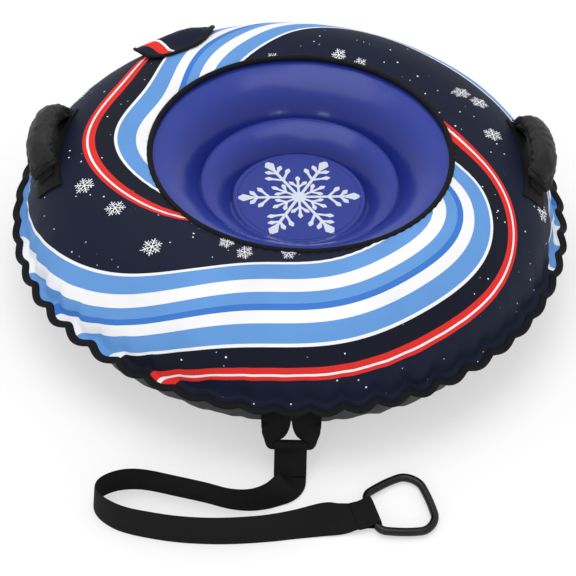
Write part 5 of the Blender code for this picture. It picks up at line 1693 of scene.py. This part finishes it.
def straight(start: Vector, end: Vector, steps: int) -> list[Vector]:
    """Points between two points, both left out."""
    return [start.lerp(end, i / steps) for i in range(1, steps)]


def rounded_corner(before: Vector, corner: Vector, after: Vector, radius: float, steps: int) -> list[Vector]:
    """Points of a rounded corner between two straight sides."""
    one = (before - corner).normalized()
    two = (after - corner).normalized()
    half = one.angle(two) / 2
    middle = corner + (one + two).normalized() * (radius / math.sin(half))
    start = corner + one * (radius / math.tan(half)) - middle
    end = corner + two * (radius / math.tan(half)) - middle
    sweep = start.angle(end)
    points = []
    for t in (i / steps for i in range(steps + 1)):
        mixed = start * math.sin((1 - t) * sweep) + end * math.sin(t * sweep)
        points.append(middle + mixed / math.sin(sweep))
    return points


def frame_at(place: Vector, x_axis: Vector, z_axis: Vector) -> Matrix:
    """A placing matrix from a position, an X direction and a Z direction square to it."""
    x = x_axis.normalized()
    z = z_axis.normalized()
    made = Matrix((x, z.cross(x), z)).transposed().to_4x4()
    made.translation = place
    return made


@dataclass
class Valve:
    """The valve below the flap: the hatch in the cover, its tape, the valve's base and its cap."""

    turn: float = math.radians(124.0)
    section: float = math.radians(30.0)
    hatch: float = 0.028
    hatch_slack: float = 2.2 * MM
    tape_width: float = 5.0 * MM
    tape_half: float = 1.0 * MM
    tape_lift: float = 1.2 * MM
    flange: float = 0.024
    seat_depth: float = 3.2 * MM
    body: float = 0.0145
    body_depth: float = 0.013
    skin: float = 2.0 * MM

    def frame(self) -> Matrix:
        """The frame on the cover over the valve, with Z outwards."""
        place, along, _, out = on_cover(self.section, self.turn, 0.0)
        return frame_at(place, along, out)

    def cutter(self, radius: float, low: float, high: float) -> Object:
        """A cylinder about the valve's axis, as a passing object."""
        sizes = {"radius1": radius, "radius2": radius, "depth": high - low}
        mesh = bpy.data.meshes.new("cutter")
        with edited(mesh) as bm:
            bmesh.ops.create_cone(bm, cap_ends=True, segments=64, **sizes)
            bmesh.ops.translate(bm, verts=bm.verts, vec=(0.0, 0.0, (low + high) / 2))
        outward(mesh).transform(self.frame())
        return placed("cutter", mesh)

    def cut_chamber(self, mesh: Mesh) -> Mesh:
        """Cuts the valve's seat and pit out of the chamber."""
        seat = -(self.skin + self.seat_depth)
        cutters = [
            self.cutter(self.flange + 2 * GAP, seat, self.hatch),
            self.cutter(self.body + GAP, seat - self.body_depth - GAP, 0.0),
        ]

        def set_up(passing: Object) -> None:
            """Adds the cuts."""
            for cutter in cutters:
                cut = passing.modifiers.new("cut", "BOOLEAN")
                cut.operation = "DIFFERENCE"
                cut.solver = "EXACT"
                cut.object = cutter

        made = modified(mesh, set_up)
        for cutter in cutters:
            bpy.data.objects.remove(cutter)
        return made

    def open_hatch(self, mesh: Mesh) -> Mesh:
        """Takes the faces over the valve out of the top cover; the hatch's tape hides the edge."""
        inverse = self.frame().inverted()
        with edited(mesh) as bm:
            gone = []
            for face in bm.faces:
                x, y, z = inverse @ face.calc_center_median()
                if math.hypot(x, y) < self.hatch + self.hatch_slack and abs(z) < self.hatch:
                    gone.append(face)
            bmesh.ops.delete(bm, geom=gone, context="FACES")
        return mesh

    def hatch_tape(self) -> None:
        """The tape round the hatch."""
        reach = TUBE.cover_radius - TUBE.crest_radius
        rings = []
        for angle in turns(96):
            ring = []
            for way in turns(12):
                wide = self.tape_width / 2 * rounded(way, 0.6)[0]
                lift = self.tape_lift + self.tape_half * math.sin(way)
                away = Vector(at(self.hatch + GAP + self.tape_width / 2 + wide, angle))
                section = self.section + away.y / reach
                turn = self.turn + away.x / TUBE.upper(section, lift)[0]
                ring.append(on_cover(section, turn, lift)[0])
            rings.append(ring)
        piece("hatch_tape", ring_mesh("hatch_tape_mesh", rings), FINISH.tape, ["hatch_binding"])

    def cap(self) -> None:
        """The valve's cap, turned from a profile with a rounded rim and a dished top."""
        head = 1.5 * MM + 4.0 * MM - self.seat_depth + 3 * GAP
        plug = head - GAP - 5.7 * MM
        edge, axis = 8.5 * MM, WELD
        profile = [(axis, head + 1.6 * MM), (9.0 * MM, head + 1.6 * MM), (10.2 * MM, head + 2.6 * MM)]
        profile += [(12.5 * MM, head + 2.8 * MM), (13.7 * MM, head + 2.2 * MM), (14.0 * MM, head + 1.2 * MM)]
        profile += [(13.8 * MM, head), (edge, head), (edge - 0.6 * MM, plug), (axis, plug)]
        rows = [[self.frame() @ Vector(spot) for spot in round_about(r, z, 64)] for r, z in profile]
        mesh = outward(grid_mesh("valve_cap_mesh", rows, closed=True, looped=True), weld=3 * WELD)
        piece("valve_cap_moulded", smooth(mesh, 35.0), FINISH.valve, ["valve_cap"], Body.CAP)

    def build(self) -> None:
        """Builds the hatch's tape and the cap, and gives the CAD nodes that stay their materials."""
        self.hatch_tape()
        self.cap()
        stay = {
            "valve_base": FINISH.valve,
            "valve_diaphragm": FINISH.rubber,
            "flap_hook_patch": FINISH.hook,
            "cover_loop_patch": FINISH.hook,
            "flap_seam_strip": FINISH.tape,
        }
        for node, finish in stay.items():
            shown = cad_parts[node].data
            shown.materials.clear()
            shown.materials.append(finish.material)


VALVE = Valve()


@dataclass
class Flap:
    """The flap over the valve: a half round of printed cloth with a bound edge, puffed by the valve below."""

    turn: float = math.radians(124.0)
    root: float = 0.395
    half_width: float = 0.083
    reach: float = 0.080
    lift: float = 3.0 * MM
    crest: float = 0.0168
    left_curl: float = 0.018
    right_curl: float = 0.002
    curl_starts: Pair = (0.40, 0.50)
    dome_place: float = 0.42
    dome_spans: Pair = (1.06, 0.86)
    cloth: float = 1.6 * MM
    tape: Pair = (3.6 * MM, 2.4 * MM)
    tape_out: float = 1.4 * MM
    ends: Pair = (0.52, 1.35)
    corner: float = 0.24
    cut_reach: float = 0.094
    cut_share: float = 0.83

    def point(self, u: float, t: float, lift: float = 0.0) -> Vector:
        """A place on the flap's underside: u runs -1 to 1 along the root, t runs 0 to 1 inwards."""
        c, s = math.cos(self.turn), math.sin(self.turn)
        away = self.root - t * self.reach
        x, y = away * c + u * self.half_width * s, away * s - u * self.half_width * c
        ground = TUBE.ground(math.hypot(x, y), self.lift)
        level = ground + (TUBE.ground(away, self.lift) - ground) * (1.0 - t) ** 2
        blunt, slim = self.dome_spans
        span = (u / blunt) ** 4 if u < 0 else (u / slim) ** 2
        dome = max(0.0, 1.0 - span - (t / self.dome_place - 1.0) ** 2)
        left = self.left_curl * 3.0 * max(0.0, -u - self.curl_starts[0]) ** 2 * max(0.0, 1.0 - t / 0.85)
        right = self.right_curl * 3.0 * max(0.0, u - self.curl_starts[1]) ** 2 * min(1.0, t * 4.0)
        return Vector((x, y, level + self.crest * dome**1.3 + left + right + lift))

    def outline(self, angle: float) -> Pair:
        """The edge at an angle, in shares of the half width and the reach: blunt left, slim right."""
        blunt = math.cos(angle) < 0
        u, t = rounded(angle, self.ends[0] if blunt else self.ends[1])
        if blunt:
            u *= 1.0 - self.corner * max(0.0, 1.0 - abs(t) / 0.40) ** 2
        return u, abs(t)

    def build(self) -> None:
        """Builds the flap, its bound edge and its stitches."""
        rings, spokes = 26, 64
        rows = []
        for i in range(rings + 1):
            share = max(MM, i / rings)
            row = []
            for k in range(spokes + 1):
                u, t = (share * part for part in self.outline(math.pi * k / spokes))
                wrinkle = 1.0 * MM * noise.noise(Vector((u * 6.0, t * 5.0, 0.4))) * min(1.0, t * 5)
                row.append(self.point(u, t, wrinkle))
            rows.append(row)
        mesh = smooth(walled(facing(grid_mesh("flap_mesh", rows)), self.cloth, 1.0))
        made = piece("valve_flap_cloth", mesh, FINISH.flap, ["valve_flap"], Body.FLAP)
        around = [self.outline(math.pi * k / 72) for k in range(73)]
        flat = [self.point(u, t, self.cloth / 2) for u, t in around]
        binding = self.bound(flat)
        row = [self.point(0.93 * u, 0.93 * t, self.cloth + GAP) for u, t in around[2:-2]]
        stitches("flap_stitches", [(row, False)], Body.FLAP)

    def bound(self, edge: Sequence[Vector]) -> Object:
        """The tape folded over the flap's edge."""
        path = []
        for before, place, after in zip(edge, edge[1:], edge[2:]):
            path.append(place + UP.cross(after - before).normalized() * self.tape_out)
        wide, thick = self.tape
        rings = []
        for place, run in zip(path, runs(path)):
            side = run.cross(UP).normalized()
            deep = side.cross(run).normalized()
            shape = [(wide * math.cos(way), thick * math.sin(way)) for way in turns(12)]
            rings.append([place + side * x + deep * y for x, y in shape])
        mesh = smooth(outward(grid_mesh("flap_tape_mesh", rings, closed=True), cap=12))
        return piece("flap_edge_tape", mesh, FINISH.tape, ["flap_binding"], Body.FLAP)


@dataclass
class Studio:
    """The pale floor, the soft lamps and the camera at the photograph's angle."""

    place: Point = (-0.049, -1.988, 1.927)
    pitch: float = math.radians(45.32)
    roll: float = math.radians(2.22)
    yaw: float = math.radians(1.34)
    lens: float = 100.52
    sensor: float = 36.0
    pale: float = 0.50
    sky: float = 0.74
    floor_half: float = 8.0
    floor_drop: float = 0.5 * MM

    def camera(self) -> None:
        """The camera."""
        data = bpy.data.cameras.new("camera")
        data.lens = self.lens
        data.sensor_width = self.sensor
        made = placed("camera", data)
        made.location = self.place
        level = Matrix.Rotation(-self.yaw, 3, "Z") @ Matrix.Rotation(math.pi / 2 - self.pitch, 3, "X")
        made.rotation_euler = (level @ Matrix.Rotation(self.roll, 3, "Z")).to_euler()
        bpy.context.scene.camera = made

    def floor(self) -> None:
        """A wide white floor that shows white to the camera and keeps the shadow."""
        made = Shading("white_studio_floor")
        material = made.show(Base_Color=linear("FFFFFF"), Roughness=0.9, Specular_IOR_Level=0.0)
        glow = add_node(made.tree, "ShaderNodeEmission")
        seen = add_node(made.tree, "ShaderNodeLightPath").outputs["Is Camera Ray"]
        share = add_node(made.tree, MATH, {0: seen, 1: self.pale}, operation="MULTIPLY")
        mixed = add_node(made.tree, "ShaderNodeMixShader", {0: share, 1: made.shader, 2: glow})
        made.tree.links.new(mixed.outputs[0], made.tree.nodes["Material Output"].inputs["Surface"])
        reach = (-self.floor_half, self.floor_half)
        mesh = grid_mesh("floor", [[(x, y, -self.floor_drop) for x in reach] for y in reach])
        mesh.materials.append(material)
        placed("studio_floor", mesh)

    def light(self) -> None:
        """A white world, one wide lamp above the tube and two small ones in front of it."""
        world = bpy.data.worlds.new("white_studio")
        bpy.context.scene.world = world
        world.use_nodes = True
        tree = world.node_tree
        back = tree.nodes["Background"]
        back.inputs["Color"].default_value = (1.0, 1.0, 1.0, 1.0)
        path = add_node(tree, "ShaderNodeLightPath").outputs
        seen = path["Is Camera Ray"]
        for kind in ("Is Glossy Ray", "Is Transmission Ray"):
            seen = add_node(tree, MATH, {0: seen, 1: path[kind]}, operation="MAXIMUM")
        strength = add_node(tree, MAP_RANGE, {0: seen, 3: self.sky, 4: 1.0})
        tree.links.new(strength.outputs[0], back.inputs["Strength"])
        self.lamp("overhead_lamp", (-0.4, 0.3, 4.6), (0.0, -0.1, 0.1), 3.4, 78.0)
        self.lamp("left_front_lamp", (-1.3, -2.9, 1.15), (0.0, 0.0, 0.15), 0.26, 5.0)
        self.lamp("right_front_lamp", (1.3, -2.9, 1.15), (0.0, 0.0, 0.15), 0.26, 5.0)

    def lamp(self, name: str, place: Point, aim: Point, size: float, power: float) -> None:
        """One square area lamp pointed at a place."""
        data = bpy.data.lights.new(name, "AREA")
        data.size = size
        data.energy = power
        made = placed(name, data)
        made.location = place
        made.rotation_euler = (Vector(aim) - Vector(place)).to_track_quat("-Z", "Y").to_euler()

    def build(self) -> None:
        """Sets up the floor, the light and the view."""
        self.floor()
        self.light()
        bpy.context.scene.view_settings.view_transform = "Standard"


def main() -> None:
    """Builds the studio and every piece, in order."""
    logging.basicConfig(level=logging.INFO, format="%(message)s")
    studio = Studio()
    studio.camera()
    tow = Tow()
    tow.strap()
    tow.build()
    Covers().build()
    SeamTape().build()
    RimTape().build()
    Seat().build()
    for side in Side:
        Handle(side).build()
    VALVE.build()
    Flap().build()
    studio.build()


if __name__ == "__main__":
    main()
